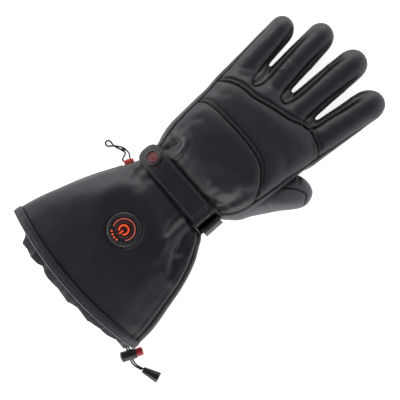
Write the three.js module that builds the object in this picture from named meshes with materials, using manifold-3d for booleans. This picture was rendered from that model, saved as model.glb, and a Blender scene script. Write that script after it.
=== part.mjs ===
import * as THREE from 'three';
import { mergeVertices } from 'three/addons/utils/BufferGeometryUtils.js';
import Module from 'manifold-3d';

// Heated gauntlet glove for the left hand, lying flat on its palm.
// Millimetres. +Y runs from the cuff to the fingertips, +X is the thumb's side, +Z is up.
// It is modelled with the wrist line at y = 0 and moved at the end, so that the
// glove without its cords stands on the middle of its own footprint.

// Leather and clearances
const WALL = 3; // leather with its padding
const GAP = 0.35; // between pieces that touch
const TABLE = 0; // height of the surface it lies on
const SIDES = 28; // points round the hand and the cuff
const FINGER_SIDES = 12;

// Wrist, hand and cuff
const WRIST_LEFT = 49;
const WRIST_RIGHT = 46.5;
const WRIST_LOW = 5;
const WRIST_TOP = 43;
const HAND_LENGTH = 149; // wrist line to the crotches between the fingers
const HAND_LEFT = 63;
const HAND_RIGHT = 68;
const HAND_TOP = 54;
const PALM_SINK = 3; // how much of the padding is pressed flat under the palm
const CUFF_LENGTH = 149.5;
const CUFF_LEFT = 93;
const CUFF_RIGHT = 89;
const CUFF_TOP = 57;
const HEM_BOW = 10.5; // the hem's ends lie this much nearer to the wrist than its middle

// Shares between the wrist and the widest and highest places of the hand
const HAND_SECTIONS = [
  { along: 0.0, left: 0.0, right: 0.0, rise: 0.0, sink: 0.0, square: 3.4 },
  { along: 0.09, left: 0.07, right: 0.13, rise: 0.05, sink: 0.25, square: 3.2 },
  { along: 0.15, left: 0.32, right: 0.42, rise: 0.42, sink: 0.6, square: 3.0 },
  { along: 0.25, left: 0.57, right: 0.68, rise: 0.82, sink: 0.88, square: 2.8 },
  { along: 0.36, left: 0.65, right: 0.81, rise: 1.0, sink: 1.0, square: 2.7 },
  { along: 0.47, left: 0.71, right: 0.88, rise: 0.87, sink: 1.0, square: 2.7 },
  { along: 0.58, left: 0.76, right: 0.91, rise: 0.64, sink: 1.0, square: 2.8 },
  { along: 0.68, left: 0.92, right: 0.93, rise: 0.36, sink: 1.0, square: 2.8 },
  { along: 0.79, left: 1.0, right: 0.97, rise: 0.0, sink: 1.0, square: 2.9 },
  { along: 0.87, left: 0.98, right: 1.02, rise: -0.45, sink: 0.88, square: 2.9 },
  { along: 0.95, left: 0.7, right: 0.9, rise: -1.05, sink: 0.4, square: 2.7 },
  { along: 1.0, left: 0.25, right: 0.62, rise: -1.7, sink: -0.4, square: 2.4 },
];

// Shares between the wrist and the mouth of the cuff
const CUFF_SECTIONS = [
  { along: 1.0, left: 1.0, right: 1.0, rise: 0.3, sink: 0.64, square: 2.4 },
  { along: 0.8, left: 0.9, right: 0.97, rise: 0.64, sink: 0.93, square: 2.5 },
  { along: 0.6, left: 0.71, right: 0.83, rise: 0.93, sink: 1.0, square: 2.5 },
  { along: 0.4, left: 0.48, right: 0.65, rise: 1.0, sink: 0.86, square: 2.6 },
  { along: 0.235, left: 0.24, right: 0.4, rise: 0.72, sink: 0.57, square: 2.8 },
  { along: 0.134, left: 0.09, right: 0.17, rise: 0.33, sink: 0.29, square: 3.2 },
  { along: 0.06, left: 0.0, right: -0.02, rise: 0.04, sink: 0.0, square: 3.4 },
];
const CUFF_SINK = 2;

// Dents in the top of the leather: place and reach in shares of the hand's widths and of its
// length, depth in millimetres
const DENTS = [
  { across: -0.6, along: 0.17, wide: 0.16, long: 0.09, depth: 4.5 },
  { across: 0.6, along: 0.19, wide: 0.16, long: 0.12, depth: 4.5 },
  { across: -0.62, along: -0.16, wide: 0.18, long: 0.07, depth: 3 },
  { across: 0.66, along: -0.26, wide: 0.2, long: 0.1, depth: 3.5 },
  { across: 0.35, along: -0.2, wide: 0.16, long: 0.08, depth: 2 },
];

// Fingers: shares of the hand's left or right half, of the middle finger and of the finger's width
const FINGER_START = 118;
const FINGER_LENGTH = 110.5;
const FINGER_WIDTH = 33;
const FINGER_ROOT_TOP = 35.5;
const FINGER_TIP_TOP = 27;
const FINGER_SINK = 2;
const FINGER_SQUARE = 2.3;
const FINGERS = [
  { name: 'little', root: -0.755, tip: -0.89, reach: 0.706, rootWidth: 0.94, tipWidth: 0.8 },
  { name: 'ring', root: -0.238, tip: -0.39, reach: 0.932, rootWidth: 0.985, tipWidth: 0.87 },
  { name: 'middle', root: 0.254, tip: 0.27, reach: 1.0, rootWidth: 1.015, tipWidth: 0.94 },
  { name: 'index', root: 0.757, tip: 0.9, reach: 0.878, rootWidth: 1.09, tipWidth: 0.955 },
];
// How far in from a finger's two edges the seams of its back lie
const FINGER_INSETS = {
  little: { left: 4.4, right: 4.9 },
  ring: { left: 5.5, right: 4.3 },
  middle: { left: 6.8, right: 5.4 },
  index: { left: 6.6, right: 4.4 },
};

// Thumb, in shares of its length, sweep, width and depth
const THUMB_START = 5;
const THUMB_LENGTH = 97;
const THUMB_ROOT_X = 34;
const THUMB_SWEEP = 44;
const THUMB_WIDTH = 35;
const THUMB_DEPTH = 34;
const THUMB_SECTIONS = [
  { along: 0.0, sweep: -0.05, girth: 0.7, top: 0.8, low: -0.06 },
  { along: 0.09, sweep: 0.08, girth: 0.85, top: 0.9, low: -0.06 },
  { along: 0.175, sweep: 0.205, girth: 0.97, top: 0.97, low: -0.06 },
  { along: 0.34, sweep: 0.375, girth: 1.0, top: 1.0, low: -0.06 },
  { along: 0.505, sweep: 0.57, girth: 1.01, top: 0.97, low: -0.06 },
  { along: 0.67, sweep: 0.81, girth: 1.0, top: 0.91, low: -0.06 },
  { along: 0.755, sweep: 0.94, girth: 0.985, top: 0.88, low: -0.06 },
  { along: 0.835, sweep: 1.0, girth: 0.94, top: 0.85, low: -0.03 },
  { along: 0.9, sweep: 1.005, girth: 0.87, top: 0.79, low: 0.0 },
  { along: 0.95, sweep: 1.0, girth: 0.74, top: 0.73, low: 0.07 },
  { along: 0.98, sweep: 1.0, girth: 0.55, top: 0.65, low: 0.15 },
  { along: 1.0, sweep: 1.0, girth: 0.25, top: 0.5, low: 0.27 },
];

// Seams of the back of the hand, in shares of its left or right half and of its length
const RIGHT_SEAM = [
  { across: 0.62, along: 0.0 }, { across: 0.65, along: 0.08 }, { across: 0.76, along: 0.15 },
  { across: 0.855, along: 0.26 },
  { across: 0.87, along: 0.4 }, { across: 0.91, along: 0.54 }, { across: 0.935, along: 0.67 },
];
const KNUCKLE_SEAM_LOW = [
  { across: -0.85, along: 0.47 }, { across: -0.77, along: 0.51 }, { across: -0.62, along: 0.53 },
  { across: -0.32, along: 0.54 }, { across: 0.3, along: 0.537 }, { across: 0.44, along: 0.523 },
  { across: 0.59, along: 0.483 }, { across: 0.735, along: 0.416 }, { across: 0.85, along: 0.322 },
];
const KNUCKLE_SEAM_HIGH = [
  { across: -0.88, along: 0.67 }, { across: -0.77, along: 0.718 }, { across: -0.62, along: 0.752 },
  { across: -0.32, along: 0.78 }, { across: 0.0, along: 0.825 }, { across: 0.3, along: 0.866 },
  { across: 0.47, along: 0.9 }, { across: 0.56, along: 0.913 }, { across: 0.735, along: 0.906 },
  { across: 0.96, along: 0.855 },
];
// Side strips between two fingers, and where their round lower ends reach on the hand
const FOURCHETTES = [
  { name: 'little_ring', foot: 0.832 },
  { name: 'ring_middle', foot: 0.908 },
  { name: 'middle_index', foot: 0.908 },
];
const LEFT_SEAM_INSET = 4; // from the left edge of the hand
const HAND_SEAM_LEVEL = 22; // lowest height of the seams round the back of the hand
const FINGER_SEAM_LEVEL = 16;
const FOURCHETTE_LEVEL = 9; // seam between a side strip and the finger's front
const FRONT_SEAM = 0.85; // share of the hand's length where the fingers' fronts start
const THUMB_LEVEL = 15;

// Cuff: seam, hem and gathered inner skirt
const CUFF_SEAM_INSET = 4.5;
const CUFF_SEAM_LEVEL = 24;
const HEM_BAND = 8;
const HEM_PROUD = 0.9;
const SKIRT_WALL = 1.6;
const SKIRT_LEFT = 67;
const SKIRT_RIGHT = 82;
const SKIRT_TOP = 38;
const SKIRT_DEPTH = 31; // how far the skirt reaches into the cuff from the hem
const SKIRT_PROUD = 8; // how far it shows beyond the hem
const GATHERS = 17;
const GATHER_DEPTH = 1.7;
const SKIRT_SIDES = GATHERS * 3;

// Wrist strap with its ring and badge
const STRAP_WIDTH = 24.4;
const STRAP_THICK = 1.6;
const STRAP_Y = 0.5;
const STRAP_START = -40; // sewn end, along the skin of the wrist from its middle
const STRAP_TIP = -63;
const RING_BAR = 2.4;
const RING_REACH = 15; // across its two long bars
const RING_SIDE = 1.9; // its two short bars are thinner
const RING_INNER_AT = 38; // along the skin of the wrist
const RING_TILT = 0.6;
const TAB_WIDTH = 21.5;
const TAB_END = 63;
const BADGE_AT = -39;
const BADGE_RIM = 8.5;
const BADGE_FACE = 6.5;
const BADGE_THICK = 1.8;

// Control button on the back of the cuff
const BUTTON_X = -6.5;
const BUTTON_Y = -67.5;
const BUTTON_RADIUS = 17;
const BUTTON_THICK = 3.6;
const BUTTON_TILT = 0.02;
const LIGHT_INNER = 9.4;
const LIGHT_OUTER = 11.6;
const LIGHT_START = -34;
const LIGHT_END = 211;
const LIGHT_RAISED = 0.5;
const CAP_RADIUS = 8.8;
const CAP_RAISED = 0.9;
const LAMP_RADIUS = 1.1;
const LAMP_RING = 12.6;
const LAMP_ANGLES = [234, 250, 266, 282];

// Zip on the thumbless side of the cuff
const ZIP_LEVEL = 24;
const ZIP_WIDTH = 9;
const ZIP_THICK = 1.2;
const ZIP_START = -27;
const ZIP_END = -129;
const SLIDER_LENGTH = 10;
const SLIDER_WIDTH = 5;
const SLIDER_THICK = 3.4;
const SLIDER_Y = -20;
const SLIDER_TURN = 0.37; // radians, follows the side of the cuff

// Cords and what is on them
const PULL_DIAMETER = 1.2;
const PULL_ROUTE = [
  [-57.6, -16.6, 25.0], [-58.8, -15.8, 24.2], [-60.4, -15.0, 20.5], [-62.0, -14.4, 14.5],
  [-63.4, -14.3, 8.2], [-65.0, -14.6, 3.4], [-67.2, -14.5, 1.5], [-70.0, -15.4, 1.2],
  [-73.2, -17.4, 2.3], [-76.4, -20.0, 2.5], [-79.2, -23.2, 1.0], [-81.4, -26.0, 0.7],
  [-84.0, -26.6, 0.7], [-86.0, -24.8, 0.7], [-85.6, -22.2, 0.7], [-83.2, -20.9, 0.7],
  [-79.8, -21.1, 0.8], [-76.6, -20.8, 0.7], [-73.2, -19.6, 0.7], [-69.6, -18.2, 0.7],
  [-66.4, -17.2, 1.4], [-64.4, -17.4, 4.4], [-63.4, -18.8, 9.4], [-62.4, -20.8, 15.4],
  [-61.4, -22.6, 20.6], [-60.4, -23.6, 24.0], [-59.4, -23.8, 25.0],
];
const PULL_STEPS = 44;
const STRAND_DIAMETER = 1.8;
const STRAND_SPREAD = 1.15;
const LOCK_X = 92;
const LOCK_Y = -147;
const LOCK_TURN = 0.4; // radians, from +Y towards +X
const LOCK_RADIUS = 5.4;
const LOCK_LENGTH = 14.8;
const LOCK_FLOOR = 1.1;
const BORE_RADIUS = 4.7;
const PLUNGER_RADIUS = 4.35;
const PLUNGER_TRAVEL = 3;
const CORD_HOLE_AT = 8.2; // from the closed end of the barrel
const CORD_HOLE_LENGTH = 5;
const CORD_HOLE_HEIGHT = 2.6;
const PLUNGER_FOOT = 1.2; // plunger left below the cords' slot
const PLUNGER_OUT = 7.2;
const STRAND_ROUTE = [
  [-12.0, -0.6, 15.4], [-10.6, -0.3, 11.8], [-8.6, 0, 8.0], [-6, 0, 6.1], [-3, 0, 5.75], [0, 0, 5.75],
  [5, 0, 5.6], [8.2, 0, 4.2], [11.4, 0.8, 1.9], [14.6, 2.6, 1.1], [17.4, 4.8, 2.0], [19.6, 7.0, 3.6],
  [21.4, 8.4, 4.05],
];
const STRAND_MERGE = 1.15; // half the distance between the strands where they enter the cord end
const STRAND_STEPS = 15;
const CORD_END_LENGTH = 18;
const CORD_END_NARROW = 3.1;
const CORD_END_WIDE = 6;
const CORD_END_THICK = 3.9;
const CORD_END_TURN = 0.37; // radians, from +X towards +Y
const CORD_END_DEPTH = 5;

// Finishes
const wasm = await Module();
wasm.setup();
const glove = new THREE.Group();
const onCords = new THREE.Group();

function finish(color, roughness, metalness = 0) {
  return new THREE.MeshStandardMaterial({ color, roughness, metalness });
}
const LEATHER = finish(0x2a282c, 0.5);
const SIDE_LEATHER = finish(0x333236, 0.7);
const BINDING = finish(0x302e33, 0.55);
const LINING = finish(0x202022, 0.85);
const WEBBING = finish(0x29282c, 0.6);
const BLACK_PLASTIC = finish(0x18181a, 0.4);
const RED_PLASTIC = finish(0xb0323a, 0.42);
const RED_LIGHT = finish(0xe8502a, 0.35);
const BLACK_CORD = finish(0x151516, 0.8);
const RED_METAL = finish(0xa83a3a, 0.4, 0.3);

// Solids and booleans

// A manifold solid from a closed three.js geometry
function solid(geometry) {
  const bare = geometry.clone();
  bare.deleteAttribute('normal');
  bare.deleteAttribute('uv');
  const merged = mergeVertices(bare, 1e-4);
  return new wasm.Manifold(new wasm.Mesh({
    numProp: 3,
    vertProperties: new Float32Array(merged.attributes.position.array),
    triVerts: new Uint32Array(merged.index.array),
  }));
}

function geometryOf(manifold) {
  const mesh = manifold.getMesh();
  const geometry = new THREE.BufferGeometry();
  geometry.setAttribute('position', new THREE.BufferAttribute(new Float32Array(mesh.vertProperties), 3));
  geometry.setIndex(new THREE.BufferAttribute(new Uint32Array(mesh.triVerts), 1));
  return geometry;
}

function addPiece(group, name, geometry, material) {
  const mesh = new THREE.Mesh(geometry, material);
  mesh.name = name;
  group.add(mesh);
  return mesh;
}

function addSolid(name, manifold, material) {
  return addPiece(glove, name, geometryOf(manifold), material);
}

// Triangles that close a ring seen along +Y, given as places in the ring
function capFaces(ring) {
  const flat = ring.map((point) => new THREE.Vector2(point.x, point.z));
  return THREE.ShapeUtils.triangulateShape(flat, []).map(([a, b, c]) => {
    const turn = flat[b].clone().sub(flat[a]).cross(flat[c].clone().sub(flat[a]));
    return turn > 0 ? [a, b, c] : [a, c, b];
  });
}

// A closed skin through rings of the same number of points, which follow each other along +Y
// and run round from +X towards +Z
function loft(rings) {
  const count = rings[0].length;
  const points = rings.flat();
  const faces = [];
  for (let r = 0; r + 1 < rings.length; r++) {
    for (let i = 0; i < count; i++) {
      const a = r * count + i;
      const b = r * count + (i + 1) % count;
      faces.push(a, a + count, b + count, a, b + count, b);
    }
  }
  const last = (rings.length - 1) * count;
  for (const [a, b, c] of capFaces(rings[0])) {
    faces.push(a, b, c);
  }
  for (const [a, b, c] of capFaces(rings[rings.length - 1])) {
    faces.push(last + a, last + c, last + b);
  }
  const geometry = new THREE.BufferGeometry().setFromPoints(points);
  geometry.setIndex(faces);
  return geometry;
}

// An upright prism over an outline in plan
function prism(outline, low, high) {
  const shape = new THREE.Shape(outline);
  const geometry = new THREE.ExtrudeGeometry(shape, { depth: high - low, bevelEnabled: false });
  return solid(geometry.translate(0, 0, low));
}

// The outline with every side moved outwards, for an outline drawn anticlockwise
function widened(outline, by) {
  return outline.map((point, i) => {
    const before = outline[(i + outline.length - 1) % outline.length];
    const after = outline[(i + 1) % outline.length];
    const sideIn = point.clone().sub(before).normalize();
    const sideOut = after.clone().sub(point).normalize();
    const normal = new THREE.Vector2(sideIn.y + sideOut.y, -sideIn.x - sideOut.x).normalize();
    const slant = Math.max(0.4, normal.x * sideIn.y - normal.y * sideIn.x);
    return point.clone().addScaledVector(normal, by / slant);
  });
}

function mix(from, to, share) {
  return from + (to - from) * share;
}

function signedPower(value, exponent) {
  return Math.sign(value) * Math.abs(value) ** exponent;
}

// A place across the hand, from a share of the half of the hand that it lies in
function acrossHand(share) {
  return share * (share < 0 ? HAND_LEFT : HAND_RIGHT);
}

// Sections of the hand and the cuff

function handSection(row) {
  return {
    y: row.along * HAND_LENGTH,
    left: -mix(WRIST_LEFT, HAND_LEFT, row.left),
    right: mix(WRIST_RIGHT, HAND_RIGHT, row.right),
    low: mix(WRIST_LOW, -PALM_SINK, row.sink),
    high: mix(WRIST_TOP, HAND_TOP, row.rise),
    square: row.square,
  };
}

function cuffSection(row) {
  return {
    y: -row.along * CUFF_LENGTH,
    left: -mix(WRIST_LEFT, CUFF_LEFT, row.left),
    right: mix(WRIST_RIGHT, CUFF_RIGHT, row.right),
    low: mix(WRIST_LOW, -CUFF_SINK, row.sink),
    high: mix(WRIST_TOP, CUFF_TOP, row.rise),
    square: row.square,
  };
}

const SECTIONS = [...CUFF_SECTIONS.map(cuffSection), ...HAND_SECTIONS.map(handSection)];

// The section at any place along the glove; past either end it keeps the last slope
function sectionAt(y) {
  let i = 0;
  while (i < SECTIONS.length - 2 && SECTIONS[i + 1].y < y) {
    i++;
  }
  const from = SECTIONS[i];
  const to = SECTIONS[i + 1];
  const share = (y - from.y) / (to.y - from.y);
  const section = {};
  for (const key of Object.keys(from)) {
    section[key] = mix(from[key], to[key], share);
  }
  return section;
}

// How deep the leather is pressed in at a place in plan
function dentAt(x, y) {
  return DENTS.reduce((sum, dent) => {
    const across = (x - acrossHand(dent.across)) / (dent.wide * HAND_RIGHT);
    const along = (y - dent.along * HAND_LENGTH) / (dent.long * HAND_LENGTH);
    return sum + dent.depth * Math.exp(-across * across - along * along);
  }, 0);
}

// One ring of the section, grown outwards, and flat where it would sink into the table
function sectionRing(section, grow, lowest = TABLE - grow, sides = SIDES) {
  const centre = (section.left + section.right) / 2;
  const middle = (section.low + section.high) / 2;
  const halfWidth = (section.right - section.left) / 2 + grow;
  const halfDepth = (section.high - section.low) / 2 + grow;
  return Array.from({ length: sides }, (_, i) => {
    const angle = 2 * Math.PI * i / sides;
    const across = signedPower(Math.cos(angle), 2 / section.square);
    const up = signedPower(Math.sin(angle), 2 / section.square);
    const x = centre + halfWidth * across;
    const dent = dentAt(x, section.y) * Math.max(up, 0) ** 2;
    return new THREE.Vector3(x, section.y, Math.max(middle + halfDepth * up - dent, lowest));
  });
}

function body(from, to, grow, lowest) {
  const between = SECTIONS.filter((section) => section.y > from + 1 && section.y < to - 1);
  const sections = [sectionAt(from), ...between, sectionAt(to)];
  return solid(loft(sections.map((section) => sectionRing(section, grow, lowest))));
}

// Fingers and thumb

const STRAIGHT_STEPS = 3;
const END_STEPS = [0.45, 0.78, 0.96];
const END_SHARE = 0.62; // length of the round end, in widths
const ROOT_ROUND = 0.86; // how much slimmer a finger is where it leaves the inside of the hand

function fingerTube(finger, grow) {
  const reach = finger.reach * FINGER_LENGTH;
  const endLength = END_SHARE * finger.tipWidth * FINGER_WIDTH;
  const roundLength = endLength + grow;
  const straight = reach - endLength;
  const start = grow < 0 ? -WALL : 0;
  const stations = [];
  for (let i = 0; i <= STRAIGHT_STEPS; i++) {
    stations.push({ y: mix(start, straight, i / STRAIGHT_STEPS), round: i === 0 ? ROOT_ROUND : 1 });
  }
  for (const step of END_STEPS) {
    stations.push({ y: straight + step * roundLength, round: (1 - step ** 2.2) ** 0.5 });
  }
  return solid(loft(stations.map((station) => {
    const along = station.y / reach;
    const width = mix(finger.rootWidth, finger.tipWidth, along) * FINGER_WIDTH;
    const centre = acrossHand(mix(finger.root, finger.tip, along));
    const top = mix(FINGER_ROOT_TOP, FINGER_TIP_TOP, along);
    const middle = (top - FINGER_SINK) / 2;
    const halfWidth = (width / 2 + grow) * station.round;
    const halfDepth = ((top + FINGER_SINK) / 2 + grow) * station.round ** 0.7;
    return ovalRing(centre, FINGER_START + station.y, middle, halfWidth, halfDepth, TABLE - grow);
  })));
}

function ovalRing(centre, y, middle, halfWidth, halfDepth, lowest) {
  return Array.from({ length: FINGER_SIDES }, (_, i) => {
    const angle = 2 * Math.PI * i / FINGER_SIDES;
    const x = centre + halfWidth * signedPower(Math.cos(angle), 2 / FINGER_SQUARE);
    const z = middle + halfDepth * signedPower(Math.sin(angle), 2 / FINGER_SQUARE);
    return new THREE.Vector3(x, y, Math.max(z, lowest));
  });
}

function thumbTube(grow) {
  const squeeze = (THUMB_LENGTH + grow) / THUMB_LENGTH;
  return solid(loft(THUMB_SECTIONS.map((row) => {
    const top = row.top * THUMB_DEPTH;
    const low = row.low * THUMB_DEPTH;
    const halfWidth = Math.max(row.girth * THUMB_WIDTH / 2 + grow, 1);
    const halfDepth = Math.max((top - low) / 2 + grow, 1);
    const centre = THUMB_ROOT_X + row.sweep * THUMB_SWEEP;
    const y = THUMB_START + row.along * THUMB_LENGTH * squeeze;
    return ovalRing(centre, y, (top + low) / 2, halfWidth, halfDepth, TABLE - grow);
  })));
}

// The leather shell, cut into its panels along the seams

const SKY = 90;
const FAR = 300;

function inPlan(rows) {
  return rows.map((row) => new THREE.Vector2(acrossHand(row.across), row.along * HAND_LENGTH));
}

// Takes the piece over the outline, above a height, out of the shell and leaves a seam round it
function takePiece(shell, outline, low) {
  const piece = shell.intersect(prism(outline, low, SKY));
  const rest = shell.subtract(prism(widened(outline, GAP), low - GAP, SKY));
  return [piece, rest];
}

function at(x, y) {
  return new THREE.Vector2(x, y);
}

// The seam along one side of a finger's back, from where the finger starts upwards
function fingerSeam(finger, side) {
  const inset = side < 0 ? FINGER_INSETS[finger.name].left : FINGER_INSETS[finger.name].right;
  return (y) => {
    const along = (y - FINGER_START) / (finger.reach * FINGER_LENGTH);
    const width = mix(finger.rootWidth, finger.tipWidth, along) * FINGER_WIDTH;
    const centre = acrossHand(mix(finger.root, finger.tip, along));
    return at(centre + side * (width / 2 - inset), y);
  };
}

const BEYOND_FINGERS = FINGER_START + 1.1 * FINGER_LENGTH;

// A strip between two fingers: up the left finger's seam and down the right one's, round at its foot
function fourchetteOutline(strip, leftFinger, rightFinger) {
  const [left, right] = [fingerSeam(leftFinger, 1), fingerSeam(rightFinger, -1)];
  const low = strip.foot * HAND_LENGTH;
  const radius = (right(low).x - left(low).x) / 2;
  const foot = low + radius;
  const [leftFoot, rightFoot] = [left(foot), right(foot)];
  const centre = (leftFoot.x + rightFoot.x) / 2;
  const reach = (rightFoot.x - leftFoot.x) / 2;
  const outline = [rightFoot, right(BEYOND_FINGERS), left(BEYOND_FINGERS), leftFoot];
  for (const turn of [1.25, 1.5, 1.75]) {
    outline.push(at(centre + reach * Math.cos(turn * Math.PI), foot + radius * Math.sin(turn * Math.PI)));
  }
  return outline;
}

// The line midway between two neighbouring fingers, from below their roots to beyond their tips
function partingLine(leftFinger, rightFinger) {
  return [FRONT_SEAM * HAND_LENGTH, BEYOND_FINGERS].map((y) => {
    if (!leftFinger) {
      return at(-FAR, y);
    }
    if (!rightFinger) {
      return at(FAR, y);
    }
    return fingerSeam(leftFinger, 1)(y).lerp(fingerSeam(rightFinger, -1)(y), 0.5);
  });
}

function makeHand() {
  const hand = body(GAP / 2, HAND_LENGTH, 0);
  const outer = FINGERS.reduce((sum, finger) => sum.add(fingerTube(finger, 0)), hand);
  const palmHollow = body(-WALL, HAND_LENGTH - WALL, -WALL).add(thumbTube(-WALL));
  const hollow = FINGERS.reduce((sum, finger) => sum.add(fingerTube(finger, -WALL)), palmHollow);
  const bodyWithGap = body(-WALL, HAND_LENGTH, GAP);

  const thumb = thumbTube(0).subtract(hollow).subtract(bodyWithGap);
  const everywhere = [at(-FAR, -FAR), at(FAR, -FAR), at(FAR, FAR), at(-FAR, FAR)];
  const [thumbBack, thumbFront] = takePiece(thumb, everywhere, THUMB_LEVEL);
  addSolid('thumb_back', thumbBack, LEATHER);
  addSolid('thumb_front', thumbFront, SIDE_LEATHER);

  let rest = outer.subtract(hollow);
  let piece;
  FOURCHETTES.forEach((strip, i) => {
    const outline = fourchetteOutline(strip, FINGERS[i], FINGERS[i + 1]);
    [piece, rest] = takePiece(rest, outline, FOURCHETTE_LEVEL);
    addSolid(`fourchette_${strip.name}`, piece, SIDE_LEATHER);
  });
  const fingerRows = [FRONT_SEAM * HAND_LENGTH, 1.1 * HAND_LENGTH, BEYOND_FINGERS];
  const handSections = SECTIONS.filter((section) => section.y >= 0 && section.y < fingerRows[0] - GAP);
  const leftSeam = handSections.map((section) => at(section.left + LEFT_SEAM_INSET, section.y))
    .concat(fingerRows.map(fingerSeam(FINGERS[0], -1)));
  const rightSeam = inPlan(RIGHT_SEAM).concat(fingerRows.map(fingerSeam(FINGERS[3], 1)));
  const lowSeam = inPlan(KNUCKLE_SEAM_LOW);
  const highSeam = inPlan(KNUCKLE_SEAM_HIGH);
  const above = (seam, curve) => seam.filter((point) => point.y > curve.y + 1);
  const below = (seam, curve) => seam.filter((point) => point.y < curve.y - 1);
  const between = (seam, from, to) => above(below(seam, to), from);
  const [lowLeft, lowRight] = [lowSeam[0], lowSeam[lowSeam.length - 1]];
  const [highLeft, highRight] = [highSeam[0], highSeam[highSeam.length - 1]];

  const fingerOutline = [...highSeam, ...above(rightSeam, highRight), ...above(leftSeam, highLeft).reverse()];
  [piece, rest] = takePiece(rest, fingerOutline, FINGER_SEAM_LEVEL);
  const [indexLow, indexHigh] = partingLine(FINGERS[2], FINGERS[3]);
  const indexSide = prism([at(indexLow.x, 0), at(FAR, 0), at(FAR, FAR), at(indexHigh.x, FAR)], 0, SKY);
  addSolid('index_back_panel', piece.intersect(indexSide), LEATHER);
  addSolid('finger_back_panel', piece.subtract(indexSide), LEATHER);

  const knuckleOutline = [...lowSeam, ...between(rightSeam, lowRight, highRight), ...[...highSeam].reverse(),
    ...between(leftSeam, lowLeft, highLeft).reverse()];
  [piece, rest] = takePiece(rest, knuckleOutline, HAND_SEAM_LEVEL);
  addSolid('knuckle_panel', piece, LEATHER);

  const backOutline = [at(leftSeam[0].x, -FAR), at(rightSeam[0].x, -FAR), ...below(rightSeam, lowRight),
    ...[...lowSeam].reverse(), ...below(leftSeam, lowLeft).reverse()];
  [piece, rest] = takePiece(rest, backOutline, HAND_SEAM_LEVEL);
  addSolid('back_panel', piece, LEATHER);

  FINGERS.forEach((finger, i) => {
    const [leftLow, leftHigh] = partingLine(FINGERS[i - 1], finger);
    const [rightLow, rightHigh] = partingLine(finger, FINGERS[i + 1]);
    [piece, rest] = takePiece(rest, [leftLow, rightLow, rightHigh, leftHigh], -SKY);
    addSolid(`finger_front_${finger.name}`, piece, SIDE_LEATHER);
  });
  addSolid('palm_panel', rest, SIDE_LEATHER);
}

// Cuff with its hem band and the gathered skirt inside it

const HEM_AT = -CUFF_LENGTH + HEM_BAND;
const ARC_STEPS = 12;

// An arc in plan, parallel to the hem, whose middle is at y
function hemArc(y) {
  const { left, right } = sectionAt(-CUFF_LENGTH);
  return Array.from({ length: ARC_STEPS + 1 }, (_, i) => {
    const share = 1.25 * (2 * i / ARC_STEPS - 1);
    return at((left + right) / 2 + share * (right - left) / 2, y + HEM_BOW * share ** 2);
  });
}

function betweenArcs(low, high) {
  return prism([...hemArc(low), ...hemArc(high).reverse()], -SKY, SKY);
}

function makeCuff() {
  const wide = body(-CUFF_LENGTH - WALL, -GAP / 2, 0).subtract(body(-CUFF_LENGTH - 2 * WALL, WALL, -WALL));
  const shell = wide.intersect(betweenArcs(HEM_AT + GAP, FAR));
  const seam = SECTIONS.filter((section) => section.y < 0)
    .map((section) => at(section.right - CUFF_SEAM_INSET, section.y));
  const [seamLow, seamHigh] = [at(seam[0].x, -FAR), at(seam[seam.length - 1].x, FAR)];
  const outline = [at(-FAR, -FAR), seamLow, ...seam, seamHigh, at(-FAR, FAR)];
  const [back, front] = takePiece(shell, outline, CUFF_SEAM_LEVEL);
  const pocket = solid(buttonFrame(new THREE.CylinderGeometry(
    BUTTON_RADIUS + GAP, BUTTON_RADIUS + GAP, 8 * WALL, 24).rotateX(Math.PI / 2)));
  addSolid('cuff_back', back.subtract(pocket), LEATHER);
  addSolid('cuff_front', front, SIDE_LEATHER);

  const hemEnd = HEM_AT + 2 * HEM_BOW;
  const binding = body(-CUFF_LENGTH - WALL, hemEnd, HEM_PROUD, TABLE)
    .subtract(body(-CUFF_LENGTH - 2 * WALL, hemEnd + WALL, -WALL));
  addSolid('hem_binding', binding.intersect(betweenArcs(-CUFF_LENGTH, HEM_AT)), BINDING);
}

// Sections of the skirt from its seat inside the cuff, past the hem, to its free edge
function skirtSections() {
  const room = WALL + GAP + GATHER_DEPTH;
  const inside = (section, inset) => ({
    ...section,
    left: section.left + inset,
    right: section.right - inset,
    low: section.low + inset,
    high: section.high - inset,
  });
  const seat = inside(sectionAt(-CUFF_LENGTH + SKIRT_DEPTH), room);
  const hem = inside(sectionAt(-CUFF_LENGTH), room + GAP + HEM_PROUD);
  hem.left = -SKIRT_LEFT - GATHER_DEPTH;
  const past = hem.y - 1.5 * SKIRT_PROUD;
  const edge = { ...hem, y: past, left: -SKIRT_LEFT, right: SKIRT_RIGHT, high: SKIRT_TOP };
  return [{ ...edge, gather: 1 }, { ...hem, gather: 1 }, { ...seat, gather: 0.5 }];
}

function skirtRing(section, grow) {
  const centre = (section.left + section.right) / 2;
  const middle = (section.low + section.high) / 2;
  return sectionRing(section, grow, TABLE, SKIRT_SIDES).map((point, i) => {
    const wave = Math.cos(2 * Math.PI * GATHERS * i / SKIRT_SIDES) * section.gather * GATHER_DEPTH;
    const out = new THREE.Vector2(point.x - centre, point.z - middle).normalize();
    const z = Math.max(point.z + out.y * wave, WALL + GAP - grow); // above the cuff's own wall
    return new THREE.Vector3(point.x + out.x * wave, point.y, z);
  });
}

function makeSkirt() {
  const sections = skirtSections();
  const longer = sections.map((section, i) => ({ ...section, y: section.y + (i - 1) * SKIRT_WALL }));
  const outer = solid(loft(sections.map((section) => skirtRing(section, 0))));
  const hollow = solid(loft(longer.map((section) => skirtRing(section, -SKIRT_WALL))));
  const edge = betweenArcs(-CUFF_LENGTH - SKIRT_PROUD, FAR);
  addSolid('cuff_skirt', outer.subtract(hollow).intersect(edge), LINING);
}

// The skin of the wrist as a line that bands are laid on

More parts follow.
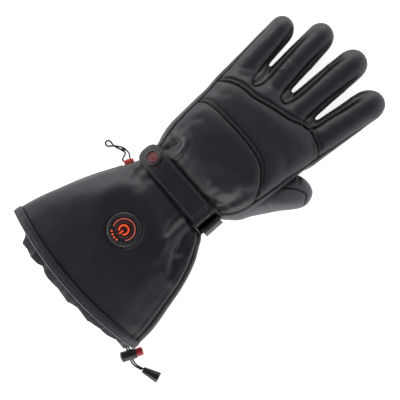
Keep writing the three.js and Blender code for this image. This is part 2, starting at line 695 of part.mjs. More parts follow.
// A function from a place along the wrist's skin and a height over it to a point of the slice at y.
// The strap is straight, so every slice follows the wrist where the strap's edge meets the hand.
function skinOf(y) {
  const section = sectionAt(STRAP_Y + STRAP_WIDTH / 2);
  const centre = (section.left + section.right) / 2;
  const middle = (section.low + section.high) / 2;
  const halfWidth = (section.right - section.left) / 2;
  const halfDepth = (section.high - section.low) / 2;
  const steps = 240;
  const samples = [];
  let along = 0;
  for (let i = 0; i <= steps; i++) {
    const angle = Math.PI * (1.25 - 1.5 * i / steps);
    const x = centre + halfWidth * signedPower(Math.cos(angle), 2 / section.square);
    const z = middle + halfDepth * signedPower(Math.sin(angle), 2 / section.square);
    if (i > 0) {
      along += Math.hypot(x - samples[i - 1].x, z - samples[i - 1].z);
    }
    samples.push({ x, z, along });
  }
  const zero = samples.reduce((best, sample) => (sample.z > best.z ? sample : best)).along;
  return (place, height) => {
    const target = place + zero;
    let i = 1;
    while (i < steps && samples[i].along < target) {
      i++;
    }
    const before = samples[Math.max(i - 3, 0)];
    const after = samples[Math.min(i + 2, steps)];
    const share = (target - samples[i - 1].along) / (samples[i].along - samples[i - 1].along);
    const run = Math.hypot(after.x - before.x, after.z - before.z);
    const normal = { x: (before.z - after.z) / run, z: (after.x - before.x) / run };
    return new THREE.Vector3(
      mix(samples[i - 1].x, samples[i].x, share) + normal.x * height,
      y,
      mix(samples[i - 1].z, samples[i].z, share) + normal.z * height,
    );
  };
}

// A band of even thickness whose middle follows points in one slice
function bandRing(points, thick) {
  const outer = [];
  const inner = [];
  points.forEach((point, i) => {
    const before = points[Math.max(i - 1, 0)];
    const after = points[Math.min(i + 1, points.length - 1)];
    const run = Math.hypot(after.x - before.x, after.z - before.z);
    const normal = new THREE.Vector3((before.z - after.z) / run, 0, (after.x - before.x) / run);
    outer.push(point.clone().addScaledVector(normal, thick / 2));
    inner.push(point.clone().addScaledVector(normal, -thick / 2));
  });
  return [...outer.reverse(), ...inner];
}

const BAR_CLEAR = RING_BAR / 2 + 2.2 * GAP + STRAP_THICK / 2; // from a bar's middle to the band round it
const BASE_HEIGHT = GAP + STRAP_THICK / 2;
const BAR_HEIGHT = BASE_HEIGHT + BAR_CLEAR;
const TOP_HEIGHT = BASE_HEIGHT + STRAP_THICK + GAP;

// The bars of the ring, in the slice through the strap's middle
function ringBars() {
  const inner = skinOf(STRAP_Y)(RING_INNER_AT, BAR_HEIGHT);
  const reach = RING_REACH - RING_BAR;
  const outer = new THREE.Vector3(
    inner.x + reach * Math.cos(RING_TILT), STRAP_Y, inner.z - reach * Math.sin(RING_TILT));
  return { inner, outer };
}

function turnRound(bar, from, sweep, y) {
  return Array.from({ length: 6 }, (_, i) => {
    const angle = from + sweep * i / 5;
    return new THREE.Vector3(bar.x + BAR_CLEAR * Math.cos(angle), y, bar.z + BAR_CLEAR * Math.sin(angle));
  });
}

// The strap's slice: sewn end, round the ring's inner bar, and back over itself to its tip
function strapSlice(y) {
  const skin = skinOf(y);
  const offMiddle = Math.abs(y - STRAP_Y) / (STRAP_WIDTH / 2);
  const tip = STRAP_TIP + STRAP_WIDTH / 2 * (1 - Math.sqrt(Math.max(0, 1 - Math.min(offMiddle, 1) ** 2)));
  const slice = [];
  const lowSteps = 5;
  for (let i = 0; i <= lowSteps; i++) {
    slice.push(skin(mix(STRAP_START, RING_INNER_AT - 1.5, i / lowSteps), BASE_HEIGHT));
  }
  slice.push(...turnRound(ringBars().inner, -1.75, 2.9, y));
  const topSteps = 9;
  for (let i = 0; i <= topSteps; i++) {
    const place = mix(RING_INNER_AT - 5, tip, i / topSteps);
    const fromRing = Math.min((RING_INNER_AT - place) / 16, 1);
    const height = mix(BAR_HEIGHT + BAR_CLEAR, TOP_HEIGHT, fromRing ** 0.8);
    slice.push(skin(place, place < STRAP_START ? mix(TOP_HEIGHT, BASE_HEIGHT + GAP, 0.4) : height));
  }
  return slice;
}

function makeStrap() {
  const half = STRAP_WIDTH / 2;
  const slices = [-1, -0.85, 0, 0.85, 1].map((share) => STRAP_Y + half * share);
  const overSkin = body(STRAP_Y - 2 * STRAP_WIDTH, STRAP_Y + 2 * STRAP_WIDTH, GAP);
  const strap = solid(loft(slices.map((y) => bandRing(strapSlice(y), STRAP_THICK))));
  addSolid('wrist_strap', strap.subtract(overSkin), WEBBING);

  const { inner, outer } = ringBars();
  const width = half + GAP + RING_SIDE;
  const reach = RING_REACH / 2;
  const frame = new THREE.Shape(roundedRectangle(reach, width, 2.6));
  frame.holes.push(new THREE.Path(roundedRectangle(reach - RING_BAR, half + GAP, 1.2)));
  const bevel = RING_BAR * 0.22;
  const wire = new THREE.ExtrudeGeometry(frame, {
    depth: RING_BAR - 2 * bevel,
    bevelThickness: bevel,
    bevelSize: bevel,
    bevelOffset: -bevel,
    bevelSegments: 1,
  }).translate(0, 0, bevel - RING_BAR / 2);
  const ring = addPiece(glove, 'strap_ring', geometryOf(solid(wire)), BLACK_PLASTIC);
  ring.rotation.y = RING_TILT;
  ring.position.addVectors(inner, outer).divideScalar(2);

  const tabHalf = TAB_WIDTH / 2;
  const tabSlices = [-tabHalf, 0, tabHalf].map((y) => bandRing(tabSlice(STRAP_Y + y, outer), STRAP_THICK));
  addSolid('ring_tab', solid(loft(tabSlices)).subtract(overSkin), WEBBING);
}

// The tab's slice: up the side of the wrist, over the ring's outer bar and back down
function tabSlice(y, bar) {
  const skin = skinOf(y);
  const start = RING_INNER_AT + RING_REACH + 3;
  const up = [3, 2, 1, 0].map((i) => skin(mix(start, TAB_END, i / 3), TOP_HEIGHT));
  const down = [0, 1, 2, 3].map((i) => skin(mix(start, TAB_END, i / 3), BASE_HEIGHT));
  return [...up, ...turnRound(bar, 0.35, 2.9, y), ...down];
}

function roundedRectangle(halfX, halfY, radius) {
  const points = [];
  for (const [x, y, turn] of [[1, 1, 0], [-1, 1, 0.5], [-1, -1, 1], [1, -1, 1.5]]) {
    for (const step of [0, 0.25, 0.5]) {
      const angle = (turn + step) * Math.PI;
      const [outX, outY] = [radius * Math.cos(angle), radius * Math.sin(angle)];
      points.push(at(x * (halfX - radius) + outX, y * (halfY - radius) + outY));
    }
  }
  return points;
}

// Badge on the strap, and the control button

function disc(radius, low, high, edge, segments = 20) {
  const top = [at(radius, high - edge), at(radius - edge, high), at(0, high)];
  const profile = [at(0, low), at(radius, low), ...top];
  return new THREE.LatheGeometry(profile, segments).rotateX(Math.PI / 2);
}

function makeBadge() {
  const skin = skinOf(STRAP_Y);
  const seat = skin(BADGE_AT, TOP_HEIGHT + STRAP_THICK / 2 + 1.5 * GAP);
  const up = skin(BADGE_AT, TOP_HEIGHT + STRAP_THICK).sub(skin(BADGE_AT, TOP_HEIGHT));
  const badge = new THREE.Group();
  badge.position.copy(seat);
  badge.rotation.y = Math.atan2(up.x, up.z);
  const well = solid(disc(BADGE_FACE + GAP, BADGE_THICK / 2, BADGE_THICK * 2, 0.1));
  const rim = solid(disc(BADGE_RIM, 0, BADGE_THICK, 0.5)).subtract(well);
  addPiece(badge, 'badge_rim', geometryOf(rim), BLACK_PLASTIC);
  const face = disc(BADGE_FACE, BADGE_THICK / 2 + GAP, BADGE_THICK + GAP, 0.35);
  addPiece(badge, 'badge_face', face, RED_PLASTIC);
  glove.add(badge);
}

// Moves a geometry made round the Z axis to the button's seat on the back of the cuff
function buttonFrame(geometry) {
  const section = sectionAt(BUTTON_Y);
  return geometry.rotateX(-BUTTON_TILT).translate(BUTTON_X, BUTTON_Y, section.high);
}

function ringSector(inner, outer, start, end, low, high) {
  const radians = Math.PI / 180;
  const shape = new THREE.Shape();
  shape.absarc(0, 0, outer, start * radians, end * radians, false);
  shape.absarc(0, 0, inner, end * radians, start * radians, true);
  return new THREE.ExtrudeGeometry(shape, { depth: high - low, bevelEnabled: false, curveSegments: 9 })
    .translate(0, 0, low);
}

function makeButton() {
  const low = -BUTTON_THICK;
  const floor = -BUTTON_THICK / 2;
  let surround = solid(disc(BUTTON_RADIUS, low, LIGHT_RAISED, 1.4));
  surround = surround.subtract(solid(ringSector(
    LIGHT_INNER - GAP, LIGHT_OUTER + GAP, LIGHT_START - 2, LIGHT_END + 2, floor, BUTTON_THICK)));
  surround = surround.subtract(solid(disc(CAP_RADIUS + GAP / 4, floor, BUTTON_THICK, 0.1)));
  const lampAt = (angle, radius, bottom, top) => disc(radius, bottom, top, 0.1, 8).translate(
    LAMP_RING * Math.cos(angle * Math.PI / 180), LAMP_RING * Math.sin(angle * Math.PI / 180), 0);
  for (const angle of LAMP_ANGLES) {
    surround = surround.subtract(solid(lampAt(angle, LAMP_RADIUS + GAP, floor, BUTTON_THICK)));
  }
  addPiece(glove, 'button_surround', buttonFrame(geometryOf(surround)), BLACK_PLASTIC);
  const light = ringSector(LIGHT_INNER, LIGHT_OUTER, LIGHT_START, LIGHT_END, floor + GAP, LIGHT_RAISED + GAP);
  addPiece(glove, 'light_ring', buttonFrame(light), RED_LIGHT);
  const cap = disc(CAP_RADIUS - GAP, floor + GAP, CAP_RAISED, 0.7);
  addPiece(glove, 'button_cap', buttonFrame(cap), BLACK_PLASTIC);
  LAMP_ANGLES.forEach((angle, i) => {
    const lamp = lampAt(angle, LAMP_RADIUS, floor + GAP, LIGHT_RAISED + GAP);
    addPiece(glove, `lamp_${i + 1}`, buttonFrame(lamp), RED_LIGHT);
  });
}

// Zip on the side of the cuff

// A slice of the side of the cuff at one height: the point on its skin, and the way out of it
function cuffSide(y, z) {
  const section = sectionAt(y);
  const centre = (section.left + section.right) / 2;
  const middle = (section.low + section.high) / 2;
  const up = (z - middle) / ((section.high - section.low) / 2);
  const across = (1 - Math.abs(up) ** section.square) ** (1 / section.square);
  return centre - (section.right - section.left) / 2 * across;
}

function makeZip() {
  const stations = Array.from({ length: 8 }, (_, i) => mix(ZIP_END, ZIP_START, i / 7));
  const levels = [-0.5, -0.17, 0.17, 0.5].map((share) => ZIP_LEVEL + share * ZIP_WIDTH);
  const reach = 3 * ZIP_THICK;
  const strip = solid(loft(stations.map((y) => {
    const out = levels.map((z) => new THREE.Vector3(cuffSide(y, z) - GAP - ZIP_THICK, y, z));
    const into = levels.map((z) => new THREE.Vector3(cuffSide(y, z) + reach, y, z));
    return [...into, ...out.reverse()];
  })));
  addSolid('zip_strip', strip.subtract(body(-CUFF_LENGTH, 0, GAP)), BINDING);

  const length = SLIDER_LENGTH / 2;
  const shape = new THREE.Shape(roundedRectangle(length, SLIDER_WIDTH / 2, 1.4));
  const bevel = 0.5;
  const plate = new THREE.ExtrudeGeometry(shape, {
    depth: SLIDER_THICK - 2 * bevel,
    bevelThickness: bevel,
    bevelSize: bevel,
    bevelOffset: -bevel,
    bevelSegments: 1,
  }).translate(0, 0, bevel);
  const up = new THREE.Vector3(0, 0, 1);
  const along = new THREE.Vector3(-Math.sin(SLIDER_TURN), -Math.cos(SLIDER_TURN), 0);
  const seat = new THREE.Matrix4().makeBasis(along, up, along.clone().cross(up));
  seat.setPosition(cuffSide(SLIDER_Y, ZIP_LEVEL) - 3 * GAP, SLIDER_Y, ZIP_LEVEL);
  addPiece(glove, 'zip_slider', plate.applyMatrix4(seat), RED_METAL);
}

// Cords, and the pieces on them

function cordAlong(points, diameter, steps, sides) {
  const circle = new THREE.Shape();
  circle.absarc(0, 0, diameter / 2, 0, 2 * Math.PI, false);
  const curve = new THREE.CatmullRomCurve3(points, false, 'centripetal');
  return new THREE.ExtrudeGeometry(circle, { steps, extrudePath: curve, curveSegments: sides / 2 });
}

function vectors(rows) {
  return rows.map(([x, y, z]) => new THREE.Vector3(x, y, z));
}

// From the lock's own axes (across its cord holes, along its barrel) to the glove's
function lockPlace(across, along, z) {
  const x = LOCK_X + across * Math.cos(LOCK_TURN) + along * Math.sin(LOCK_TURN);
  const y = LOCK_Y - across * Math.sin(LOCK_TURN) + along * Math.cos(LOCK_TURN);
  return new THREE.Vector3(x, y, z);
}

function makeLock() {
  const lock = new THREE.Group();
  lock.position.copy(lockPlace(0, 0, LOCK_RADIUS + GAP));
  lock.rotation.z = -LOCK_TURN;
  const closed = -CORD_HOLE_AT;
  const round = 1.8;
  const barrelProfile = [
    at(0, closed), at(LOCK_RADIUS - round, closed), at(LOCK_RADIUS - round * 0.3, closed + round * 0.4),
    at(LOCK_RADIUS, closed + round), at(LOCK_RADIUS, closed + LOCK_LENGTH),
    at(BORE_RADIUS, closed + LOCK_LENGTH), at(BORE_RADIUS, closed + LOCK_FLOOR), at(0, closed + LOCK_FLOOR),
  ];
  const slot = new THREE.BoxGeometry(4 * LOCK_RADIUS, CORD_HOLE_LENGTH, CORD_HOLE_HEIGHT);
  const barrel = solid(new THREE.LatheGeometry(barrelProfile, 16)).subtract(solid(slot));
  addPiece(lock, 'cord_lock_barrel', geometryOf(barrel), BLACK_PLASTIC);

  const foot = -CORD_HOLE_LENGTH / 2 - PLUNGER_FOOT;
  const top = closed + LOCK_LENGTH + PLUNGER_OUT;
  const plungerProfile = [
    at(0, foot), at(PLUNGER_RADIUS, foot), at(PLUNGER_RADIUS, top - round),
    at(PLUNGER_RADIUS - round * 0.3, top - round * 0.4), at(PLUNGER_RADIUS - round, top), at(0, top),
  ];
  const slotLength = CORD_HOLE_LENGTH + PLUNGER_TRAVEL;
  const longSlot = new THREE.BoxGeometry(4 * LOCK_RADIUS, slotLength, CORD_HOLE_HEIGHT)
    .translate(0, PLUNGER_TRAVEL / 2, 0);
  const plunger = solid(new THREE.LatheGeometry(plungerProfile, 16)).subtract(solid(longSlot));
  addPiece(lock, 'cord_lock_plunger', geometryOf(plunger), RED_PLASTIC);
  onCords.add(lock);
}

function strandRoute(side) {
  const last = STRAND_ROUTE.length - 1;
  return STRAND_ROUTE.map(([across, along, z], i) => {
    const spread = mix(STRAND_SPREAD, STRAND_MERGE, i / last);
    return lockPlace(across, along + side * spread, z);
  });
}

function makeCords() {
  const pull = cordAlong(vectors(PULL_ROUTE), PULL_DIAMETER, PULL_STEPS, 6);
  addPiece(onCords, 'zip_pull_cord', geometryOf(solid(pull)), BLACK_CORD);
  for (const [name, side] of [['drawcord_left', -1], ['drawcord_right', 1]]) {
    const strand = cordAlong(strandRoute(side), STRAND_DIAMETER, STRAND_STEPS, 8);
    addPiece(onCords, name, geometryOf(solid(strand)), BLACK_CORD);
  }
  const [across, along, z] = STRAND_ROUTE[STRAND_ROUTE.length - 1];
  const mouth = lockPlace(across, along, z);
  const half = CORD_END_LENGTH;
  const rings = [[0, 0.8], [0.08, 1], [0.92, 1], [1, 0.8]].map(([share, full]) => {
    const width = mix(CORD_END_NARROW, CORD_END_WIDE, share) * full;
    const thick = mix(CORD_END_NARROW, CORD_END_THICK, share) * full;
    return [0, 1, 2, 3, 4, 5, 6, 7].map((i) => {
      const angle = Math.PI * (i + 0.5) / 4;
      const [cos, sin] = [Math.cos(angle), Math.sin(angle)];
      const squarish = 0.96 / Math.max(Math.abs(cos), Math.abs(sin));
      return new THREE.Vector3(width * squarish * cos, half * share, thick * squarish * sin);
    });
  });
  const socket = new THREE.BoxGeometry(
    4 * STRAND_DIAMETER, 2 * CORD_END_DEPTH, STRAND_DIAMETER + 2 * GAP);
  const end = solid(loft(rings)).subtract(solid(socket));
  const cordEnd = addPiece(onCords, 'cord_end', geometryOf(end), BLACK_PLASTIC);
  cordEnd.rotation.z = CORD_END_TURN - Math.PI / 2;
  cordEnd.position.copy(mouth);
}

makeHand();
makeCuff();
makeSkirt();
makeStrap();
makeBadge();
makeButton();
makeZip();
makeLock();
makeCords();

// The glove without its cords stands on the middle of its footprint
const footprint = new THREE.Box3().setFromObject(glove);
const part = new THREE.Group();
part.add(glove, onCords);
part.position.set(
  -(footprint.min.x + footprint.max.x) / 2, -(footprint.min.y + footprint.max.y) / 2, -footprint.min.z);
part.updateMatrixWorld(true);

export default part;
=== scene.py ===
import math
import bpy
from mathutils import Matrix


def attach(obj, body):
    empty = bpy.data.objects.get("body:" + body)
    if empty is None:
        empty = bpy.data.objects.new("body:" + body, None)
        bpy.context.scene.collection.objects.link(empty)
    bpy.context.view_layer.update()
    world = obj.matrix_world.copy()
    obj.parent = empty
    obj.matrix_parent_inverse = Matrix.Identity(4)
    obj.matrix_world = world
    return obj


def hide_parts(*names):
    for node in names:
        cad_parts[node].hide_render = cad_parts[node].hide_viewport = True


bl_info = {
    "name": "Heated Gauntlet Glove",
    "version": (1, 0, 0),
    "blender": (4, 5, 0),
    "location": "View3D > Sidebar > Glove",
    "description": "Dresses the solids of a heated leather gauntlet glove with its leather, trim and cords",
    "category": "Object",
}

import bpy
import numpy as np
from bpy.props import FloatProperty, FloatVectorProperty, IntProperty, PointerProperty
from bpy.types import Operator, Panel, PropertyGroup
from mathutils import Matrix, Vector, noise
from mathutils.bvhtree import BVHTree

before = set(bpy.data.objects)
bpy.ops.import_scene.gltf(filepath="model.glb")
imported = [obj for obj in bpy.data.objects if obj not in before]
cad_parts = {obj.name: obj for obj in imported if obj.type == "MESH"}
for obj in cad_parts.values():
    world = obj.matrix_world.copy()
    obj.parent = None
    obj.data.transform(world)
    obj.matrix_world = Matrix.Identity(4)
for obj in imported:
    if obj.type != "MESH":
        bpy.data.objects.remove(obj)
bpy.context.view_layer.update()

# The glove is drawn in millimetres with the wrist line at y = 0, and moved by this to its place
SHIFT = np.array([-1.043, -35.115, 0.0])
MM = 0.001

# Main sizes of the glove, in millimetres
WRIST_LEFT = 49.0
WRIST_RIGHT = 46.5
WRIST_LOW = 5.0
WRIST_TOP = 43.0
HAND_LENGTH = 149.0
HAND_LEFT = 63.0
HAND_RIGHT = 68.0
HAND_TOP = 54.0
PALM_SINK = 3.0
CUFF_LENGTH = 149.5
CUFF_LEFT = 93.0
CUFF_RIGHT = 89.0
CUFF_TOP = 57.0
CUFF_SINK = 2.0
# The hem: how far its two ends bow up the cuff, the width of its band, its middle and half width
HEM_BOW = 10.5
HEM_BAND = 8.0
HEM_MIDDLE = -2.0
HEM_HALF = 91.0
LEATHER_WALL = 2.6
# No point of the leather lies lower than this over the floor
LOWEST = 0.02

# Shares between the wrist and the widest and highest places of the hand, then of the cuff:
# along, left, right, rise, sink, squareness
HAND_SECTIONS = (
    (0.0, 0.0, 0.0, 0.0, 0.0, 3.4),
    (0.09, 0.07, 0.13, 0.05, 0.25, 3.2),
    (0.15, 0.32, 0.42, 0.42, 0.6, 3.0),
    (0.25, 0.57, 0.68, 0.82, 0.88, 2.8),
    (0.36, 0.65, 0.81, 1.0, 1.0, 2.7),
    (0.47, 0.71, 0.88, 0.87, 1.0, 2.7),
    (0.58, 0.76, 0.91, 0.64, 1.0, 2.8),
    (0.68, 0.92, 0.93, 0.36, 1.0, 2.8),
    (0.79, 1.0, 0.97, 0.0, 1.0, 2.9),
    (0.87, 0.98, 1.02, -0.45, 0.88, 2.9),
    (0.95, 0.7, 0.9, -1.05, 0.4, 2.7),
    (1.0, 0.25, 0.62, -1.7, -0.4, 2.4),
)
CUFF_SECTIONS = (
    (1.07, 1.02, 1.01, 0.15, 0.5, 2.4),
    (1.0, 1.0, 1.0, 0.3, 0.64, 2.4),
    (0.8, 0.9, 0.97, 0.64, 0.93, 2.5),
    (0.6, 0.71, 0.83, 0.93, 1.0, 2.5),
    (0.4, 0.48, 0.65, 1.0, 0.86, 2.6),
    (0.235, 0.24, 0.4, 0.72, 0.57, 2.8),
    (0.134, 0.09, 0.17, 0.33, 0.29, 3.2),
    (0.06, 0.0, -0.02, 0.04, 0.0, 3.4),
)

# Fingers and thumb
FINGER_START = 118.0
FINGER_LENGTH = 110.5
FINGER_WIDTH = 33.0
FINGER_ROOT_TOP = 35.5
FINGER_TIP_TOP = 27.0
FINGER_SINK = 2.0
FINGER_SQUARENESS = 2.3
# Name, places of root and tip as shares of the hand's half, length and the two widths as shares of the above
FINGERS = (
    ("little", -0.755, -0.89, 0.706, 0.94, 0.8),
    ("ring", -0.238, -0.39, 0.932, 0.985, 0.87),
    ("middle", 0.254, 0.27, 1.0, 1.015, 0.94),
    ("index", 0.757, 0.9, 0.878, 1.09, 0.955),
)
THUMB_START = 5.0
THUMB_LENGTH = 97.0
THUMB_ROOT_X = 34.0
THUMB_SWEEP = 44.0
THUMB_WIDTH = 35.0
THUMB_DEPTH = 34.0
# Shares of the thumb's sizes: along, sweep, girth, top, low
THUMB_SECTIONS = (
    (0.0, -0.05, 0.5, 0.7, 0.2),
    (0.04, 0.0, 0.66, 0.8, 0.08),
    (0.09, 0.08, 0.82, 0.9, -0.01),
    (0.175, 0.205, 0.97, 0.97, -0.06),
    (0.34, 0.375, 1.0, 1.0, -0.06),
    (0.505, 0.57, 1.01, 0.97, -0.06),
    (0.67, 0.81, 1.0, 0.91, -0.06),
    (0.755, 0.94, 0.985, 0.88, -0.06),
    (0.835, 1.0, 0.94, 0.85, -0.03),
    (0.9, 1.005, 0.87, 0.79, 0.0),
    (0.95, 1.0, 0.74, 0.73, 0.07),
    (0.98, 1.0, 0.55, 0.65, 0.15),
    (1.0, 1.0, 0.2, 0.5, 0.3),
)

# Seams on the back of the hand, as points in plan
LOW_SEAM = (
    (-55, 71), (-50, 76), (-40, 79), (-20, 80.5), (0, 81), (20, 80), (30, 78), (40, 72), (50, 62), (58, 49),
)
HIGH_SEAM = (
    (-58, 100), (-50, 107), (-40, 112), (-20, 116), (0, 123), (20, 129), (30, 134), (40, 137), (50, 135),
    (60, 131), (66, 126),
)
RIGHT_SEAM = (
    (42, 0), (45, 12), (52, 22), (57, 36), (58.5, 48), (60, 62), (62, 80), (64, 100), (67, 130), (69, 145),
    (71, 160), (72.5, 176), (73, 188),
)
LEFT_SEAM = (
    (-45, 0), (-47, 14), (-51, 30), (-54, 54), (-55, 74), (-58, 100), (-60, 118), (-62, 135), (-64, 152),
    (-65, 166), (-64.5, 178),
)
SIDE_STRIPS = (
    ((-47, 187), (-45.5, 181), (-43.5, 172), (-41, 159), (-38.7, 145), (-37, 133), (-34, 126), (-31, 123.5),
     (-28, 126), (-25.5, 133), (-26.5, 145), (-29, 160), (-30.8, 175), (-32.8, 190), (-33, 203)),
    ((-12.5, 207), (-12, 195), (-11, 180), (-9, 166), (-7.5, 156), (-5.5, 144), (-4, 138), (-1.5, 135.5),
     (1, 135), (4, 136), (6, 141), (7.5, 150), (7.5, 165), (7, 185), (7, 202), (8, 214)),
    ((30.5, 212), (30.5, 200), (29, 180), (28.5, 160), (29, 145), (30, 139), (31.5, 136.5), (34.5, 135.5),
     (38, 136.5), (41, 142), (44, 160), (47.5, 179), (49.5, 191), (51, 202)),
)
# A row of stitches lies this far from its seam or edge
STITCH_BESIDE = 2.3
# Heights at which the back's leather meets that of the sides, on the hand and on the fingers
BACK_LEVEL = 22.0
FINGER_LEVEL = 16.0

# Soft folds in the leather of the hand, the cuff and the thumb: from x, y to x, y, half width, lift
HAND_FOLDS = (
    (-39, 19, -37, 28, 5.5, -3.6), (-28.5, 14, -32, 34, 3.2, 1.8), (-25, 14, -23, 24, 4, -0.7),
    (-12, 14, -12, 21, 5, -0.4), (8, 14, 10, 23, 5, -0.5), (22, 14, 25, 27, 4, -0.8),
    (18, 28, 36, 34, 5, 0.8), (32, 17, 43, 21, 4, -1.8), (40, 22, 44, 38, 5, -1.5),
    (47, 26, 52, 42, 3.5, 0.8), (-48, 32, -45, 46, 3.5, -0.9), (-52, 48, -40, 62, 4, -0.5),
    (-36, 40, -10, 58, 5, -0.5), (-8, 34, 14, 62, 6, 0.5), (16, 40, 32, 62, 5, -0.5),
    (40, 44, 50, 56, 4, -0.6), (-56, 118, -42, 124, 4, -0.8), (-57, 88, -42, 98, 5, -0.4),
    (10, 96, 40, 110, 8, -0.4), (48, 98, 61, 88, 5, -0.6), (46, 114, 61, 120, 4, -0.5),
    (-31, 127, -33, 146, 1.9, -2.2), (1, 139, 1.5, 148, 1.9, -1.8), (35, 139, 36, 148, 1.9, -1.8),
    (-28, 170, -16, 171, 1.8, -0.4), (42, 172, 50, 177, 2, -0.4), (1, 194, 8, 195, 1.6, 0.8),
    (32, 189, 37, 190, 1.6, 0.8), (-9, 177, -6, 179, 2, 0.7), (41, 190, 45, 191, 2, 0.7),
    (72, 175, 75, 177, 2, 0.7), (-27, 154, -24, 156, 2, 0.6), (-48, 168, -45, 170, 2, 0.5),
    (70, 150, 73, 152, 2, -0.6),
)
CUFF_FOLDS = (
    (-42, -14, -39, -24, 5, -1.8), (-28, -14, -29, -30, 5, -0.6), (8, -14, 12, -34, 6, -0.5),
    (29, -20, 36, -62, 5, 1.3), (37, -15, 46, -42, 4.5, -1.9), (20, -15, 24, -36, 5, -1.8),
    (40, -22, 62, -34, 3.5, 0.7), (46, -40, 57, -60, 4.5, -1.6), (49, -20, 55, -40, 3.5, 1.6),
    (58, -44, 66, -66, 5, 0.8), (-50, -24, -60, -50, 6, -1.0), (-36, -30, -46, -66, 9, 0.8),
    (-62, -60, -74, -96, 9, -0.8), (-50, -90, -66, -124, 11, -0.6), (58, -74, 68, -112, 10, -0.9),
    (30, -90, 42, -126, 12, -0.6), (-20, -108, -14, -136, 12, -0.5),
)
THUMB_FOLDS = ((68, 99, 73, 95, 2, -1.0), (60, 60, 74, 56, 3, -0.8), (62, 70, 80, 62, 3, -0.5))
THUMB_SEAM = ((58, 62), (67, 80), (76, 88), (86, 92), (93, 84))

# Where the leather is pressed in: x, y, half width, half length, depth
DENTS = (
    (-38, 25, 10, 13, 2.4), (41, 27, 11, 15, 2.0), (-39, -24, 12, 10, 2.0), (45, -39, 13, 15, 2.2),
    (22, -28, 11, 12, 1.6),
)

# Strap, its ring and tab
STRAP_WIDTH = 24.4
STRAP_THICK = 1.6
STRAP_Y = 0.5
STRAP_START = -40.0
STRAP_TIP_X = -53.5
RING_BAR = 2.4
RING_SIDE = 1.9
RING_REACH = 15.0
RING_INNER_AT = 35.0
RING_TILT = 0.5
TAB_WIDTH = 21.5
TAB_END = 63.0
GAP = 0.35
BASE_HEIGHT = GAP + STRAP_THICK / 2
BAR_CLEAR = RING_BAR / 2 + 2.2 * GAP + STRAP_THICK / 2
BAR_HEIGHT = BASE_HEIGHT + BAR_CLEAR
TOP_HEIGHT = BASE_HEIGHT + STRAP_THICK + GAP
BADGE_X = -41.0

# Button, its lit ring and lamps
BUTTON = (-6.5, -67.5)
BUTTON_TILT = 0.02
LIGHT_START = -34.0
LIGHT_END = 211.0
LAMP_ANGLES = (234.0, 250.0, 266.0, 282.0)
LAMP_RING = 12.3
SIGN_TURN = math.pi

# Zip and its slider
ZIP_LEVEL = 24.0
TAPE_HALF = 4.4
ZIP_START = -27.0
ZIP_END = -129.0
SLIDER_Y = -20.0
SLIDER_TURN = 0.37

# Cord lock and cords
LOCK = (92.0, -147.0)
LOCK_TURN = 0.4
LOCK_RADIUS = 5.4
LOCK_LENGTH = 14.8
CORD_HOLE_AT = 8.2
PLUNGER_OUT = 7.2
BORE_DEPTH = 13.7
PLUNGER_TRAVEL = 3.0
PULL_DIAMETER = 1.8
PULL_ROUTE = (
    (-57.6, -16.6, 25.0), (-58.8, -15.8, 24.2), (-60.4, -15.0, 20.5), (-62.0, -14.4, 14.5),
    (-63.4, -14.3, 8.2), (-65.0, -14.6, 3.4), (-67.2, -14.5, 1.5), (-70.0, -15.4, 1.2),
    (-73.2, -17.4, 2.3), (-76.4, -20.0, 2.5), (-79.2, -23.2, 1.0), (-81.4, -26.0, 0.9),
    (-84.0, -26.6, 0.9), (-86.0, -24.8, 0.9), (-85.6, -22.2, 0.9), (-83.2, -20.9, 0.9),
    (-79.8, -21.1, 0.9), (-76.6, -20.8, 0.9), (-73.2, -19.6, 0.9), (-69.6, -18.2, 0.9),
    (-66.4, -17.2, 1.4), (-64.4, -17.4, 4.4), (-63.4, -18.8, 9.4), (-62.4, -20.8, 15.4),
    (-61.4, -22.6, 20.6), (-60.4, -23.6, 24.0), (-58.2, -23.6, 25.2),
)
KNOT_AT = (-68.6, -16.2, 1.75)
STRAND_DIAMETER = 1.8
STRAND_SPREAD = 1.15
# Across the lock, along it, height
STRAND_ROUTE = (
    (-12.0, -0.6, 15.4), (-10.6, -0.3, 11.8), (-8.6, 0, 8.0), (-6, 0, 6.1), (-3, 0, 5.75), (0, 0, 5.75),
    (4.5, 0, 5.5), (7.4, 0.2, 4.2), (10.2, 1.0, 2.0), (12.8, 2.4, 1.2), (15.0, 4.4, 2.0), (16.8, 6.2, 3.4),
    (18.3, 7.6, 4.05),
)
CORD_END_TURN = 0.37
CORD_END_LENGTH = 18.0

# Inner skirt: how deep in the cuff it is seated, its room inside the leather, and its lowest place
SKIRT_SEAT = 31.0
SKIRT_ROOM = 5.6
SKIRT_LOW = 3.6

# Stage, in metres: what the camera looks at, its turn, and the boxes of light as name, bearing from the
# camera's turn, height, length and power
LOOK_AT = Vector((0.0196, -0.0266, 0.028))
CAMERA_TURN = 49
CAMERA_HEIGHT = 3.0
LIGHT_AWAY = 1.15
LIGHTS = (
    ("box_upper", 90, 0.5, 1.7, 11.0), ("box_lower", -90, 0.5, 1.7, 11.0),
    ("box_left", 180, 0.44, 1.4, 10.0), ("box_right", 0, 0.5, 1.4, 3.0),
)


class GloveSizes(PropertyGroup):
    leather_mesh: FloatProperty(
        name="Leather mesh", description="Size of the faces of the hand's leather", unit="LENGTH",
        default=0.0012)
    seam_depth: FloatProperty(
        name="Seam depth", description="How deep the seams sink into the padding", unit="LENGTH",
        default=0.0012)
    padding: FloatProperty(
        name="Padding", description="How far the panels swell between their seams", unit="LENGTH",
        default=0.0011)
    gathers: IntProperty(name="Gathers", description="Gathers round the inner skirt", default=17)
    stitch: FloatProperty(
        name="Stitch", description="Distance from one stitch to the next", unit="LENGTH", default=0.0030)


